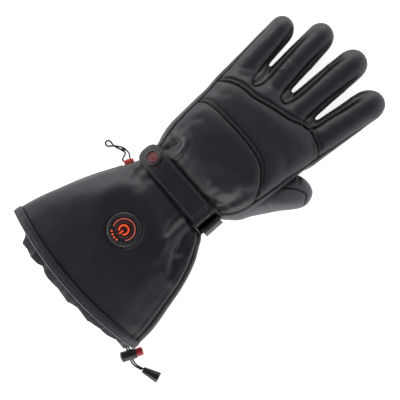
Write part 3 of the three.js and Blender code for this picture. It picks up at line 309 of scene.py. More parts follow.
class GloveColours(PropertyGroup):
    light: FloatVectorProperty(
        name="Lamp light", description="Colour of the lit sign and lamps", subtype="COLOR",
        default=(0.6, 0.055, 0.013))
    ring: FloatVectorProperty(
        name="Ring light", description="Colour of the lit ring", subtype="COLOR", default=(0.42, 0.085, 0.06))
    glow: FloatProperty(name="Glow", description="Strength of the lit ring", default=1.0, min=0.0)


# Finishes

def linear(hex_colour):
    """The linear colour of an sRGB hex value."""
    parts = [int(hex_colour[i:i + 2], 16) / 255 for i in (1, 3, 5)]
    return tuple(v / 12.92 if v <= 0.04045 else ((v + 0.055) / 1.055) ** 2.4 for v in parts) + (1.0,)


def add_node(tree, kind, settings=(), inputs=()):
    """Adds a node with its settings; an input is a value, or the output that is linked to it."""
    node = tree.nodes.new(kind)
    for name, value in dict(settings).items():
        setattr(node, name, value)
    for name, value in dict(inputs).items():
        if isinstance(value, bpy.types.NodeSocket):
            tree.links.new(value, node.inputs[name])
        else:
            node.inputs[name].default_value = value
    return node


def new_finish(name):
    """An empty material with its shader, and its tree."""
    material = bpy.data.materials.new(name)
    material.use_nodes = True
    tree = material.node_tree
    return material, tree, tree.nodes["Principled BSDF"]


def leather(name, dark, light, roughness, grain, depth, zone=None, seams=False):
    """Cowhide, drum-dyed and lightly finished: close pebbled grain in mm, patches that take the light."""
    material, tree, shader = new_finish(name)
    place = add_node(tree, "ShaderNodeTexCoord").outputs["Object"]
    pebbles = add_node(tree, "ShaderNodeTexVoronoi", {"feature": "DISTANCE_TO_EDGE"},
                       {"Vector": place, "Scale": 1000 / grain, "Randomness": 0.9})
    creases = add_node(tree, "ShaderNodeTexNoise", (),
                       {"Vector": place, "Scale": 1000 / 7, "Detail": 5.0, "Roughness": 0.62})
    patches = add_node(tree, "ShaderNodeTexNoise", (), {"Vector": place, "Scale": 1000 / 42, "Detail": 3.0})
    mixed = add_node(tree, "ShaderNodeMixRGB", (), {
        "Fac": patches.outputs["Fac"], "Color1": linear(dark), "Color2": linear(light)})
    colour = mixed.outputs["Color"]
    if zone:
        mask = add_node(tree, "ShaderNodeAttribute", {"attribute_name": zone})
        side = add_node(tree, "ShaderNodeMixRGB", (), {
            "Fac": mask.outputs["Fac"], "Color1": colour, "Color2": linear("#262529")})
        colour = side.outputs["Color"]
    if seams:
        # Painted shade in the seam grooves: the colour goes nearly black there, and the shine is taken down
        seam = add_node(tree, "ShaderNodeAttribute", {"attribute_name": "seam_shade"}).outputs["Fac"]
        sewn = add_node(tree, "ShaderNodeMixRGB", (), {
            "Fac": seam, "Color1": colour, "Color2": linear("#060607")})
        colour = sewn.outputs["Color"]
        shine = add_node(tree, "ShaderNodeMapRange", (), {"Value": seam, "To Min": 0.5, "To Max": 0.04})
        tree.links.new(shine.outputs["Result"], shader.inputs["Specular IOR Level"])
    tree.links.new(colour, shader.inputs["Base Color"])
    rough = add_node(tree, "ShaderNodeMapRange", (), {
        "Value": creases.outputs["Fac"], "From Min": 0.3, "From Max": 0.7,
        "To Min": roughness - 0.03, "To Max": roughness + 0.04})
    tree.links.new(rough.outputs["Result"], shader.inputs["Roughness"])
    cells = add_node(tree, "ShaderNodeBump", (), {
        "Height": pebbles.outputs["Distance"], "Strength": 0.35, "Distance": depth * MM})
    lines = add_node(tree, "ShaderNodeBump", (), {
        "Height": creases.outputs["Fac"], "Strength": 0.5, "Distance": 2.2 * depth * MM,
        "Normal": cells.outputs["Normal"]})
    tree.links.new(lines.outputs["Normal"], shader.inputs["Normal"])
    return material


def woven(name, dark, light, roughness, thread, depth):
    """Polyamide cloth or braid: threads that cross at the given spacing in mm, matt with a little sheen."""
    material, tree, shader = new_finish(name)
    place = add_node(tree, "ShaderNodeTexCoord").outputs["Object"]
    bands = [add_node(tree, "ShaderNodeTexWave", {"bands_direction": way, "wave_profile": "SIN"},
                      {"Vector": place, "Scale": 1000 / thread / 20 * math.pi, "Distortion": 0.4})
             for way in ("X", "Y")]
    weave = add_node(tree, "ShaderNodeMath", {"operation": "MULTIPLY"},
                     {0: bands[0].outputs["Fac"], 1: bands[1].outputs["Fac"]})
    patches = add_node(tree, "ShaderNodeTexNoise", (), {"Vector": place, "Scale": 1000 / 18, "Detail": 3.0})
    mixed = add_node(tree, "ShaderNodeMixRGB", (), {
        "Fac": patches.outputs["Fac"], "Color1": linear(dark), "Color2": linear(light)})
    tree.links.new(mixed.outputs["Color"], shader.inputs["Base Color"])
    shader.inputs["Roughness"].default_value = roughness
    shader.inputs["Sheen Weight"].default_value = 0.15
    bump = add_node(tree, "ShaderNodeBump", (), {
        "Height": weave.outputs["Value"], "Strength": 0.5, "Distance": depth * MM})
    tree.links.new(bump.outputs["Normal"], shader.inputs["Normal"])
    return material


def moulded(name, colour, roughness, metallic=0.0, coat=0.0):
    """Moulded or painted part: even colour, with a fine spark-eroded texture and faint handling marks."""
    material, tree, shader = new_finish(name)
    place = add_node(tree, "ShaderNodeTexCoord").outputs["Object"]
    marks = add_node(tree, "ShaderNodeTexNoise", (), {"Vector": place, "Scale": 1000 / 6, "Detail": 4.0})
    texture = add_node(tree, "ShaderNodeTexNoise", (), {"Vector": place, "Scale": 1000 / 0.5, "Detail": 2.0})
    shader.inputs["Base Color"].default_value = linear(colour)
    shader.inputs["Metallic"].default_value = metallic
    shader.inputs["Coat Weight"].default_value = coat
    rough = add_node(tree, "ShaderNodeMapRange", (), {
        "Value": marks.outputs["Fac"], "From Min": 0.3, "From Max": 0.7,
        "To Min": roughness - 0.06, "To Max": roughness + 0.06})
    tree.links.new(rough.outputs["Result"], shader.inputs["Roughness"])
    bump = add_node(tree, "ShaderNodeBump", (), {
        "Height": texture.outputs["Fac"], "Strength": 0.25, "Distance": 0.03 * MM})
    tree.links.new(bump.outputs["Normal"], shader.inputs["Normal"])
    return material


def lit(name, colour, strength):
    """Clear polycarbonate with a lamp behind it: it glows evenly and still has a gloss."""
    material, tree, shader = new_finish(name)
    shader.inputs["Base Color"].default_value = (*colour, 1.0)
    shader.inputs["Roughness"].default_value = 0.3
    shader.inputs["Emission Color"].default_value = (*colour, 1.0)
    shader.inputs["Emission Strength"].default_value = strength
    return material


# Shapes

def nothing_chosen():
    if bpy.context.object and bpy.context.object.mode != "OBJECT":
        bpy.ops.object.mode_set(mode="OBJECT")
    bpy.ops.object.select_all(action="DESELECT")


def choose(*pieces):
    nothing_chosen()
    for piece in pieces:
        piece.select_set(True)
    bpy.context.view_layer.objects.active = pieces[0]


def smooth_rows(rows, places):
    """Rows of a table whose first column is the place, read smoothly at any places."""
    rows = np.asarray(rows, float)
    known, values = rows[:, 0], rows[:, 1:]
    slopes = np.gradient(values, known, axis=0)
    places = np.clip(np.atleast_1d(places), known[0], known[-1])
    i = np.clip(np.searchsorted(known, places, side="right") - 1, 0, len(known) - 2)
    span = (known[i + 1] - known[i])[:, None]
    t = (places - known[i])[:, None] / span
    start = (1 + 2 * t) * (1 - t) ** 2 * values[i] + t * (1 - t) ** 2 * span * slopes[i]
    return start + t * t * (3 - 2 * t) * values[i + 1] + t * t * (t - 1) * span * slopes[i + 1]


def run_along(line):
    """How far along a line each of its points lies."""
    return np.concatenate([[0], np.cumsum(np.linalg.norm(np.diff(line, axis=0), axis=1))])


def smooth_line(points, step):
    """A smooth line through points, with a point about every step."""
    points = np.asarray(points, float)
    run = run_along(points)
    count = max(int(run[-1] / step), 2)
    return smooth_rows(np.column_stack([run, points]), np.linspace(0, run[-1], count + 1))


def ramp(values, low, high):
    """0 up to the low value, 1 from the high one, and smooth between them."""
    share = np.clip((values - low) / (high - low), 0, 1)
    return share * share * (3 - 2 * share)


def off_line(points, line):
    """Distance in plan from each point to the nearest place on a line."""
    best = np.full(len(points), 1e9)
    for a, b in zip(line[:-1], line[1:]):
        step = b - a
        share = np.clip((points - a) @ step / max(step @ step, 1e-9), 0, 1)
        best = np.minimum(best, np.linalg.norm(points - a - share[:, None] * step, axis=1))
    return best


def glove_sections():
    """Sections of the cuff and the hand in millimetres: y, left, right, low, high, squareness."""
    rows = []
    for table, length, out_left, out_right, top, under in (
            (CUFF_SECTIONS, -CUFF_LENGTH, CUFF_LEFT, CUFF_RIGHT, CUFF_TOP, CUFF_SINK),
            (HAND_SECTIONS, HAND_LENGTH, HAND_LEFT, HAND_RIGHT, HAND_TOP, PALM_SINK)):
        for along, left, right, rise, sink, square in table:
            rows.append((along * length, -WRIST_LEFT - left * (out_left - WRIST_LEFT),
                         WRIST_RIGHT + right * (out_right - WRIST_RIGHT),
                         WRIST_LOW - sink * (WRIST_LOW + under),
                         WRIST_TOP + rise * (top - WRIST_TOP), square))
    return rows


SECTIONS = glove_sections()


def outline(section, angle, grow=0.0):
    """Points (x, z) of a section at some angles: a circle squared off by its squareness."""
    left, right, low, high, square = section
    across = np.sign(np.cos(angle)) * np.abs(np.cos(angle)) ** (2 / square)
    up = np.sign(np.sin(angle)) * np.abs(np.sin(angle)) ** (2 / square)
    x = (left + right) / 2 + ((right - left) / 2 + grow) * across
    return x, (low + high) / 2 + ((high - low) / 2 + grow) * up


def section_ring(section, count, grow=0.0, lowest=LOWEST):
    """Even points (x, z) round a section, from +X towards +Z."""
    x, z = outline(section, np.linspace(0, 2 * np.pi, 721), grow)
    z = np.maximum(z, lowest)
    run = np.concatenate([[0], np.cumsum(np.hypot(np.diff(x), np.diff(z)))])
    places = np.linspace(0, run[-1], count, endpoint=False)
    return np.column_stack([np.interp(places, run, x), np.interp(places, run, z)])


def crosswise(ring, y):
    """A ring of (x, z) points stood up at y."""
    return np.column_stack([ring[:, 0], np.full(len(ring), y), ring[:, 1]])


def new_piece(name, points, faces):
    """A piece from points in metres and faces."""
    mesh = bpy.data.meshes.new(name)
    mesh.from_pydata(points.tolist(), [], faces)
    mesh.update()
    piece = bpy.data.objects.new(name, mesh)
    bpy.context.collection.objects.link(piece)
    return piece


def lofted(name, rings, capped=False, looped=False):
    """A mesh through rings that run round from +X to +Z and follow each other along +Y."""
    rings = np.asarray(rings, float)
    rows, count, _ = rings.shape
    r, i = np.meshgrid(np.arange(rows if looped else rows - 1), np.arange(count), indexing="ij")
    a, b = r * count + i, r * count + (i + 1) % count
    over = (r + 1) % rows * count
    faces = np.stack([a, over + i, over + (i + 1) % count, b], axis=-1).reshape(-1, 4).tolist()
    if capped:
        faces.append(list(range(count)))
        faces.append(list(range((rows - 1) * count, rows * count))[::-1])
    return new_piece(name, (rings.reshape(-1, 3) + SHIFT) * MM, faces)


def modify(piece, kind, **settings):
    """Adds a modifier and applies it."""
    choose(piece)
    change = piece.modifiers.new(kind.title(), kind)
    for name, value in settings.items():
        setattr(change, name, value)
    bpy.ops.object.modifier_apply(modifier=change.name)


def choose_faces(piece, chosen):
    """Opens a piece in edit mode with only the faces selected that pass a test."""
    choose(piece)
    bpy.ops.object.mode_set(mode="EDIT")
    bpy.ops.mesh.select_mode(type="FACE")
    bpy.ops.mesh.select_all(action="DESELECT")
    bpy.ops.object.mode_set(mode="OBJECT")
    for face in piece.data.polygons:
        face.select = bool(chosen(face))
    bpy.ops.object.mode_set(mode="EDIT")


def inset_steps(steps):
    """Steps the selected faces by (inwards, out) in millimetres, and leaves edit mode."""
    for inwards, out in steps:
        bpy.ops.mesh.inset(thickness=inwards * MM, depth=out * MM)
    bpy.ops.object.mode_set(mode="OBJECT")


def joined(pieces, name):
    choose(*pieces)
    bpy.ops.object.join()
    pieces[0].name = name
    pieces[0].data.name = name
    return pieces[0]


def finished(piece, material, nodes=(), body="glove", angle=50):
    """Settles a piece in its mesh, smooths it, gives it its finish and ties it to its body."""
    choose(piece)
    bpy.ops.object.transform_apply(location=True, rotation=True, scale=True)
    bpy.ops.object.shade_smooth_by_angle(angle=math.radians(angle))
    piece.data.materials.clear()
    piece.data.materials.append(bpy.data.materials[material])
    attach(piece, body)
    if nodes:
        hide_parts(*nodes)
    nothing_chosen()
    return piece


def drawn_points(piece):
    """A piece's points and normals in the axes in which the glove is drawn."""
    mesh = piece.data
    points = np.empty(3 * len(mesh.vertices))
    normals = np.empty(3 * len(mesh.vertices))
    mesh.vertices.foreach_get("co", points)
    mesh.vertices.foreach_get("normal", normals)
    return points.reshape(-1, 3) / MM - SHIFT, normals.reshape(-1, 3)


def put_points(piece, points):
    """Moves a piece's points, none of them into the floor."""
    points[:, 2] = np.maximum(points[:, 2], LOWEST)
    piece.data.vertices.foreach_set("co", ((points + SHIFT) * MM).astype(np.float32).ravel())
    piece.data.update()


def mark(piece, name, values):
    """Keeps a value from 0 to 1 at each point, for the leather's finish to read."""
    layer = piece.data.attributes.new(name, "FLOAT", "POINT")
    layer.data.foreach_set("value", values.astype(np.float32))


def facing_up(normals):
    return ramp(normals[:, 2], -0.1, 0.45)


def unevenness(points, size, seed):
    """Soft swells of the leather, about the given size, between -1 and 1."""
    offset = Vector((seed * 7.3, seed * 3.1, seed * 1.7))
    return np.array([noise.noise(Vector(p / size) + offset) for p in points])


def folds_lift(plan, folds, dents):
    """How far the folds and dents lift the leather at places in plan; each fold is bowed a little."""
    lift = np.zeros(len(plan))
    for x0, y0, x1, y1, width, height in folds:
        middle = [(x0 + x1) / 2 + 0.1 * (y1 - y0), (y0 + y1) / 2 - 0.1 * (x1 - x0)]
        lift += height * np.exp(-(off_line(plan, np.array([[x0, y0], middle, [x1, y1]], float)) / width) ** 2)
    for x, y, wide, long, depth in dents:
        lift -= depth * np.exp(-((plan[:, 0] - x) / wide) ** 2 - ((plan[:, 1] - y) / long) ** 2)
    return lift


# Leather of the hand

def finger_rings(finger):
    """Rings of one finger, from its tapered root inside the hand to its round tip."""
    _, root, tip, reach, root_width, tip_width = finger
    length = reach * FINGER_LENGTH
    end = 0.62 * tip_width * FINGER_WIDTH
    straight = length - end
    tip_places = straight + end * np.sin(np.linspace(0.06, 0.5, 18) * np.pi)
    rings = []
    for y in np.concatenate([[-22, -17, -12, -7, -3.5], np.linspace(0, straight, 40), tip_places]):
        along = max(y, 0) / length
        share = root + (tip - root) * along
        centre = share * (HAND_LEFT if share < 0 else HAND_RIGHT)
        top = FINGER_ROOT_TOP + (FINGER_TIP_TOP - FINGER_ROOT_TOP) * along
        step = max(y - straight, 0) / end
        full = max(1 - step ** 2.3, 0.0) ** 0.5
        root_in = 1 - 0.32 * (max(-y, 0) / 22) ** 1.3
        wide = root_width + (tip_width - root_width) * along
        width = max(wide * FINGER_WIDTH / 2 * full * root_in, 0.4)
        depth = max((top + FINGER_SINK) / 2 * full ** 0.7, 0.4) * root_in
        middle = (top - FINGER_SINK) / 2
        section = (centre - width, centre + width, middle - depth, middle + depth, FINGER_SQUARENESS)
        rings.append(crosswise(section_ring(section, 72), FINGER_START + y))
    return rings


def thumb_rings():
    rings = []
    steps = np.concatenate([np.linspace(0, 0.9, 60), 0.9 + 0.1 * np.sin(np.linspace(0.05, 0.5, 16) * np.pi)])
    for along, (sweep, girth, top, low) in zip(steps, smooth_rows(THUMB_SECTIONS, steps)):
        centre = THUMB_ROOT_X + sweep * THUMB_SWEEP
        half = max(girth * THUMB_WIDTH / 2, 0.6)
        section = (centre - half, centre + half, low * THUMB_DEPTH, top * THUMB_DEPTH, FINGER_SQUARENESS)
        rings.append(crosswise(section_ring(section, 96), THUMB_START + along * THUMB_LENGTH))
    return rings


def hand_seams():
    """Seams on the back of the hand: points, depth as a share, half width, and the ends that fade out."""
    seams = [(LOW_SEAM, 1.2, 1.0, ()), (HIGH_SEAM, 1.2, 1.0, ()), (RIGHT_SEAM, 1.0, 1.0, (-1,)),
             (LEFT_SEAM, 0.9, 1.0, (-1,))]
    seams += [(strip, 1.35, 0.95, (0, -1)) for strip in SIDE_STRIPS]
    return [(smooth_line(line, 2.5), depth, width, fades) for line, depth, width, fades in seams]


def strip_sides(strip):
    """The two sides of a side strip's seam, both from the fork to the fingertips."""
    line = np.array(strip, float)
    fork = int(np.argmin(line[:, 1]))
    return line[:fork + 1][::-1], line[fork:]


def side_zone(points):
    """1 on the side strips, the fronts and the palm, 0 on the panels of the back."""
    x, y, z = points.T
    left = np.interp(y, *np.array(LEFT_SEAM, float).T[::-1])
    right = np.interp(y, *np.array(RIGHT_SEAM, float).T[::-1])
    back = (x > left) & (x < right)
    for strip in SIDE_STRIPS:
        west, east = strip_sides(strip)
        past_west = x > np.interp(y, west[:, 1], west[:, 0])
        past_east = x > np.interp(y, east[:, 1], east[:, 0])
        back &= ~((y > east[0, 1]) & past_west & ~past_east)
    level = np.where(y < FINGER_START, BACK_LEVEL, FINGER_LEVEL)
    return 1.0 - back * ramp(z, level - 1.0, level + 1.0)


def shape_hand(piece, sizes):
    """Sinks the seams, swells the panels and lays the folds in the leather."""
    points, normals = drawn_points(piece)
    plan = points[:, :2]
    top = facing_up(normals)
    lift = np.zeros(len(points))
    nearest = np.full(len(points), 40.0)
    seam_shade = np.zeros(len(points))
    for line, depth, width, fades in hand_seams():
        distance = off_line(plan, line)
        kept = np.ones(len(points))
        for end in fades:
            kept *= 0.15 + 0.85 * ramp(np.linalg.norm(plan - line[end], axis=1), 1, 16)
        lift -= depth * sizes.seam_depth / MM * np.exp(-(distance / width) ** 2) * kept
        # Each seam's groove also gets painted shade, strongest at its middle
        seam_shade = np.maximum(seam_shade, 0.95 * np.exp(-(distance / 1.05) ** 2) * kept)
        nearest = np.minimum(nearest, distance)
    # The two seams across the back are sewn twice, and their second row lies nearer to the fingers
    for seam in (LOW_SEAM, HIGH_SEAM):
        beside = off_line(plan, smooth_line(np.array(seam, float)[:-1] + (0, 2 * STITCH_BESIDE), 2.5))
        lift -= 0.8 * np.exp(-(beside / 1.3) ** 2)
        seam_shade = np.maximum(seam_shade, 0.6 * np.exp(-(beside / 1.0) ** 2))
    lift += sizes.padding / MM * (1 - np.exp(-(nearest / 6) ** 2))
    lift += folds_lift(plan, HAND_FOLDS, DENTS)
    # Painted shade along the seams and their second rows, on faces that look upwards
    mark(piece, "seam_shade", seam_shade * top)
    under = 1 - ramp(normals[:, 2], -0.6, -0.2)
    beyond = points[:, 1] > FINGER_START - 6
    seam_round = -0.7 * np.exp(-((points[:, 2] - 12) / 1.2) ** 2) * (1 - top) * beyond
    swell = 0.25 * unevenness(points, 18.0, 1) + 0.07 * unevenness(points, 6.0, 2)
    move = (lift * top + seam_round + swell * (1 - under)) * ramp(points[:, 1], 0, 9)
    put_points(piece, points + normals * move[:, None])


def drop_points(piece, chosen):
    """Deletes the chosen points of a mesh."""
    choose(piece)
    piece.data.vertices.foreach_set("select", chosen)
    piece.data.edges.foreach_set("select", np.zeros(len(piece.data.edges), bool))
    piece.data.polygons.foreach_set("select", np.zeros(len(piece.data.polygons), bool))
    bpy.ops.object.mode_set(mode="EDIT")
    bpy.ops.mesh.select_mode(type="VERT")
    bpy.ops.object.mode_set(mode="OBJECT")
    piece.data.vertices.foreach_set("select", chosen)
    bpy.ops.object.mode_set(mode="EDIT")
    bpy.ops.mesh.delete(type="VERT")
    bpy.ops.mesh.select_all(action="SELECT")
    bpy.ops.mesh.delete_loose(use_verts=True, use_edges=True, use_faces=False)
    bpy.ops.object.mode_set(mode="OBJECT")


class GLOVE_OT_hand(Operator):
    """Sews the leather of the hand and its four fingers"""
    bl_idname = "glove.hand"
    bl_label = "Hand"

    def execute(self, context):
        sizes = context.scene.glove_sizes
        places = np.linspace(0.4, HAND_LENGTH, 90)
        sections = smooth_rows(SECTIONS, places)
        rings = [crosswise(section_ring(section, 200), y) for y, section in zip(places, sections)]
        parts = [lofted("hand_leather", rings, capped=True)]
        parts += [lofted(finger[0], finger_rings(finger), capped=True) for finger in FINGERS]
        hand = joined(parts, "hand_leather")
        modify(hand, "REMESH", mode="VOXEL", voxel_size=sizes.leather_mesh)
        modify(hand, "SMOOTH", factor=0.5, iterations=8)
        shape_hand(hand, sizes)
        points, _ = drawn_points(hand)
        drop_points(hand, points[:, 1] < 1.6)
        modify(hand, "SOLIDIFY", thickness=LEATHER_WALL * MM, offset=-1)
        mark(hand, "side_leather", side_zone(drawn_points(hand)[0]))
        finished(hand, "hand leather", [
            "back_panel", "knuckle_panel", "finger_back_panel", "index_back_panel", "palm_panel",
            "fourchette_little_ring", "fourchette_ring_middle", "fourchette_middle_index",
            "finger_front_little", "finger_front_ring", "finger_front_middle", "finger_front_index",
        ], angle=80)
        return {"FINISHED"}


class GLOVE_OT_thumb(Operator):
    """Sews the thumb, which comes out from under the hand"""
    bl_idname = "glove.thumb"
    bl_label = "Thumb"

    def execute(self, context):
        thumb = lofted("thumb_leather", thumb_rings(), capped=True)
        modify(thumb, "SUBSURF", levels=1, render_levels=1)
        points, normals = drawn_points(thumb)
        x, y, z = points.T
        top = facing_up(normals)
        distance = off_line(points[:, :2], smooth_line(THUMB_SEAM, 2))
        lift = folds_lift(points[:, :2], THUMB_FOLDS, ()) - 1.0 * np.exp(-(distance / 1.2) ** 2)
        # Painted shade along the thumb's seam groove
        mark(thumb, "seam_shade", 0.9 * np.exp(-(distance / 1.0) ** 2) * top)
        seam_round = -0.9 * np.exp(-((z - 15) / 1.2) ** 2)
        swell = 0.6 * unevenness(points, 14.0, 3)
        points += normals * (lift * top + seam_round + swell * (z > 1))[:, None]
        left, right, low, high, square = smooth_rows(SECTIONS, np.clip(y, 0, HAND_LENGTH)).T
        # What lies deep inside the hand's section is left out
        inside = (np.abs((x - (left + right) / 2) / ((right - left) / 2 - 6)) ** square
                  + np.abs((z - (low + high) / 2) / ((high - low) / 2 - 3)) ** square)
        put_points(thumb, points)
        drop_points(thumb, (inside < 1) & (y < 92) & (x < 66))
        modify(thumb, "SOLIDIFY", thickness=LEATHER_WALL * MM, offset=-1)
        mark(thumb, "side_leather", 1 - ramp(drawn_points(thumb)[0][:, 2], 14, 16))
        finished(thumb, "grip leather", ["thumb_back", "thumb_front"], angle=80)
        return {"FINISHED"}


# Cuff, hem and skirt

def cuff_ring(along, count, grow=0.0, past=0.0, lowest=0.02):
    """A ring of the cuff at a distance from the wrist, bowed more and more like the hem."""
    section = smooth_rows(SECTIONS, -along)[0]
    ring = section_ring(section, count, grow, lowest)
    hem = smooth_rows(SECTIONS, -CUFF_LENGTH)[0]
    share = (ring[:, 0] - (hem[0] + hem[1]) / 2) / ((hem[1] - hem[0]) / 2)
    bow = HEM_BOW * share ** 2 * min(along / CUFF_LENGTH, 1) ** 3
    return np.column_stack([ring[:, 0], -along - past + bow, ring[:, 1]])


def cuff_edge(inwards, places):
    """A line in plan along the cuff's edge on the thumb's side, a little way in from it."""
    return [(cuff_ring(place, 8)[0][0] - inwards, -place) for place in places]


def hem_arc(x, upwards):
    """The bow of the hem's edge in plan, a little way up the cuff."""
    return upwards - CUFF_LENGTH + HEM_BOW * ((x - HEM_MIDDLE) / HEM_HALF) ** 2


class GLOVE_OT_cuff(Operator):
    """Sews the long cuff, open at both ends"""
    bl_idname = "glove.cuff"
    bl_label = "Cuff"

    def execute(self, context):
        sizes = context.scene.glove_sizes
        # Past the wrist the cuff tucks in under the hand's leather
        places = np.linspace(CUFF_LENGTH - 2, -4, 114)
        rings = [cuff_ring(place, 330, -1.6 * float(ramp(-place, -3, 0.5))) for place in places]
        cuff = lofted("cuff_leather", rings)
        points, normals = drawn_points(cuff)
        plan = points[:, :2]
        top = facing_up(normals)
        distance = off_line(plan, np.array(cuff_edge(4.5, np.linspace(2, CUFF_LENGTH, 20))))
        lift = -sizes.seam_depth / MM * np.exp(-(distance / 1.3) ** 2)
        lift += 0.8 * np.exp(-((distance - 3) / 2.0) ** 2) + folds_lift(plan, CUFF_FOLDS, DENTS)
        band_edge = np.abs(plan[:, 1] - hem_arc(plan[:, 0], HEM_BAND + 1.6))
        # Painted shade along the side seam's groove and the upper edge of the hem band
        seam_shade = 0.95 * np.exp(-(distance / 1.05) ** 2)
        mark(cuff, "seam_shade", np.maximum(seam_shade, 0.8 * np.exp(-(band_edge / 1.5) ** 2)) * top)
        swell = 0.6 * unevenness(points * (1, 0.6, 1), 34.0, 4) + 0.1 * unevenness(points, 11.0, 5)
        well = np.hypot(plan[:, 0] - BUTTON[0], plan[:, 1] - BUTTON[1])
        calm = ramp(well, 17, 28) * ramp(-points[:, 1], 2, 16)
        calm *= ramp(points[:, 1], -CUFF_LENGTH, -CUFF_LENGTH + 14)
        groove = -1.6 * np.exp(-((well - 18.2) / 1.3) ** 2)
        put_points(cuff, points + normals * ((lift * top + swell) * calm + groove * top)[:, None])
        modify(cuff, "SOLIDIFY", thickness=LEATHER_WALL * MM, offset=-1)
        finished(cuff, "cuff leather", ["cuff_back", "cuff_front"], angle=80)
        return {"FINISHED"}


# Across the hem band and its piping: distance from the band's upper edge, height over the cuff
HEM_PROFILE = (
    (0.2, -0.4), (0.0, 0.0), (0.5, 0.55), (1.6, 0.95), (3.4, 1.15), (5.6, 1.05), (7.2, 0.85), (8.1, 0.8),
    (8.7, 0.5), (8.95, 0.0), (8.8, -0.9), (8.5, -2.4), (7.6, -3.3), (4.5, -3.5), (2.2, -3.2), (1.2, -2.2),
)
PIPING_PROFILE = tuple(
    (8.75 + 0.62 * math.cos(k * math.pi / 5), 0.95 + 0.62 * math.sin(k * math.pi / 5)) for k in range(10))


def hem_loop(name, profile):
    """A closed section carried round the hem."""
    start = CUFF_LENGTH - HEM_BAND - 0.8
    rings = []
    for along, out in profile:
        ring = cuff_ring(CUFF_LENGTH, 420, out)
        ring[:, 1] += CUFF_LENGTH - start - along
        inner = cuff_ring(start + along, 420, out)
        rings.append(np.column_stack([inner[:, 0], ring[:, 1], inner[:, 2]]))
    return lofted(name, rings, looped=True)


class GLOVE_OT_hem(Operator):
    """Binds the edge of the cuff and rolls its piping"""
    bl_idname = "glove.hem"
    bl_label = "Hem binding"

    def execute(self, context):
        hem = hem_loop("hem_leather", HEM_PROFILE[::-1])
        points, normals = drawn_points(hem)
        put_points(hem, points + normals * (0.22 * unevenness(points, 5.0, 6))[:, None])
        finished(hem, "binding leather", ["hem_binding"], angle=60)
        # The piping's light grey colour is a painted highlight along the hem's rolled edge
        highlight_piping = hem_loop("hem_highlight_piping", PIPING_PROFILE)
        finished(highlight_piping, "highlight_piping", angle=60)
        return {"FINISHED"}


# How far the skirt shows past the hem, by x
SKIRT_EDGE = (
    (-75, -144), (-66, -149), (-62, -154), (-55, -154), (-48, -156.5), (-38, -155.5), (-34, -153.5),
    (-20, -157.5), (-6, -156.5), (10, -158), (22, -154), (38, -155.5), (50, -151.5), (62, -150.5),
    (70, -146.5), (85, -147), (92, -142),
)


class GLOVE_OT_skirt(Operator):
    """Gathers the thin inner skirt that shows past the hem"""
    bl_idname = "glove.skirt"
    bl_label = "Skirt"

    def execute(self, context):
        gathers = context.scene.glove_sizes.gathers
        count = gathers * 3 * 8
        seat = smooth_rows(SECTIONS, SKIRT_SEAT - CUFF_LENGTH)[0]
        seat[:4] += (SKIRT_ROOM, -SKIRT_ROOM, SKIRT_ROOM, -SKIRT_ROOM)
        mouth = smooth_rows(SECTIONS, -CUFF_LENGTH)[0]
        room = SKIRT_ROOM + 1.4
        mouth[:4] = (-69.0, mouth[1] - room, mouth[2] + room, mouth[3] - room)
        edge = mouth.copy()
        edge[:4] = (-68.0, 81.0, mouth[2] + 0.6, 38.0)
        turn = np.linspace(0, 2 * np.pi, count, endpoint=False)
        # From the free edge to the mouth, and on to the seat deep in the cuff
        mouth_share = 0.45
        rings = []
        for share in np.linspace(0, 1, 26):
            if share < mouth_share:
                section = edge + (mouth - edge) * (share / mouth_share)
            else:
                section = mouth + (seat - mouth) * ((share - mouth_share) / (1 - mouth_share))
            ring = section_ring(section, count, 0.0, SKIRT_LOW)
            flat = np.interp(ring[:, 0], *np.array(SKIRT_EDGE, float).T)
            y = flat + (SKIRT_SEAT - CUFF_LENGTH - flat) * share ** 1.15
            depth = 1.25 * (1 - 0.45 * share)
            uneven = 1.1 * np.sin(3 * turn + 2.2 * share) + 0.8 * np.sin(7 * turn)
            wave = depth * np.cos(gathers * turn + uneven)
            wave += 0.25 * depth * np.cos(2 * gathers * turn + 4 * share)
            out = ring - ((section[0] + section[1]) / 2, (section[2] + section[3]) / 2)
            out /= np.linalg.norm(out, axis=1)[:, None]
            swell = 2.2 * math.sin(math.pi * min(share / mouth_share, 1.0))
            ring = ring + out * (wave + swell)[:, None]
            rings.append(np.column_stack([ring[:, 0], y, np.maximum(ring[:, 1], SKIRT_LOW)]))
        skirt = lofted("skirt_cloth", rings)
        points, normals = drawn_points(skirt)
        put_points(skirt, points + normals * (0.6 * unevenness(points, 9.0, 7))[:, None])
        modify(skirt, "SOLIDIFY", thickness=0.9 * MM, offset=-1)
        finished(skirt, "lining cloth", ["cuff_skirt"], angle=70)
        return {"FINISHED"}


# Strap, ring, tab and badge

def skin_line():
    """The skin of the wrist under the strap: run along it, x, z, and its way out."""
    table = np.array(SECTIONS).T
    section = [np.interp(STRAP_Y + STRAP_WIDTH / 2, table[0], column) for column in table[1:]]
    x, z = outline(section, np.pi * (1.25 - 1.5 * np.linspace(0, 1, 1201)))
    run = np.concatenate([[0], np.cumsum(np.hypot(np.diff(x), np.diff(z)))])
    even = np.linspace(0, run[-1], 500)
    x, z = np.interp(even, run, x), np.interp(even, run, z)
    slope_x, slope_z = [np.convolve(np.gradient(values), np.ones(9) / 9, "same") for values in (x, z)]
    length = np.hypot(slope_x, slope_z)
    return even - even[np.argmax(z)], x, z, -slope_z / length, slope_x / length


SKIN = skin_line()


def skin(place, height):
    """A point (x, z) over the skin, by its place along it and its height."""
    run, x, z, out_x, out_z = SKIN
    normal = np.array([np.interp(place, run, out_x), np.interp(place, run, out_z)])
    return np.array([np.interp(place, run, x), np.interp(place, run, z)]) + normal * height


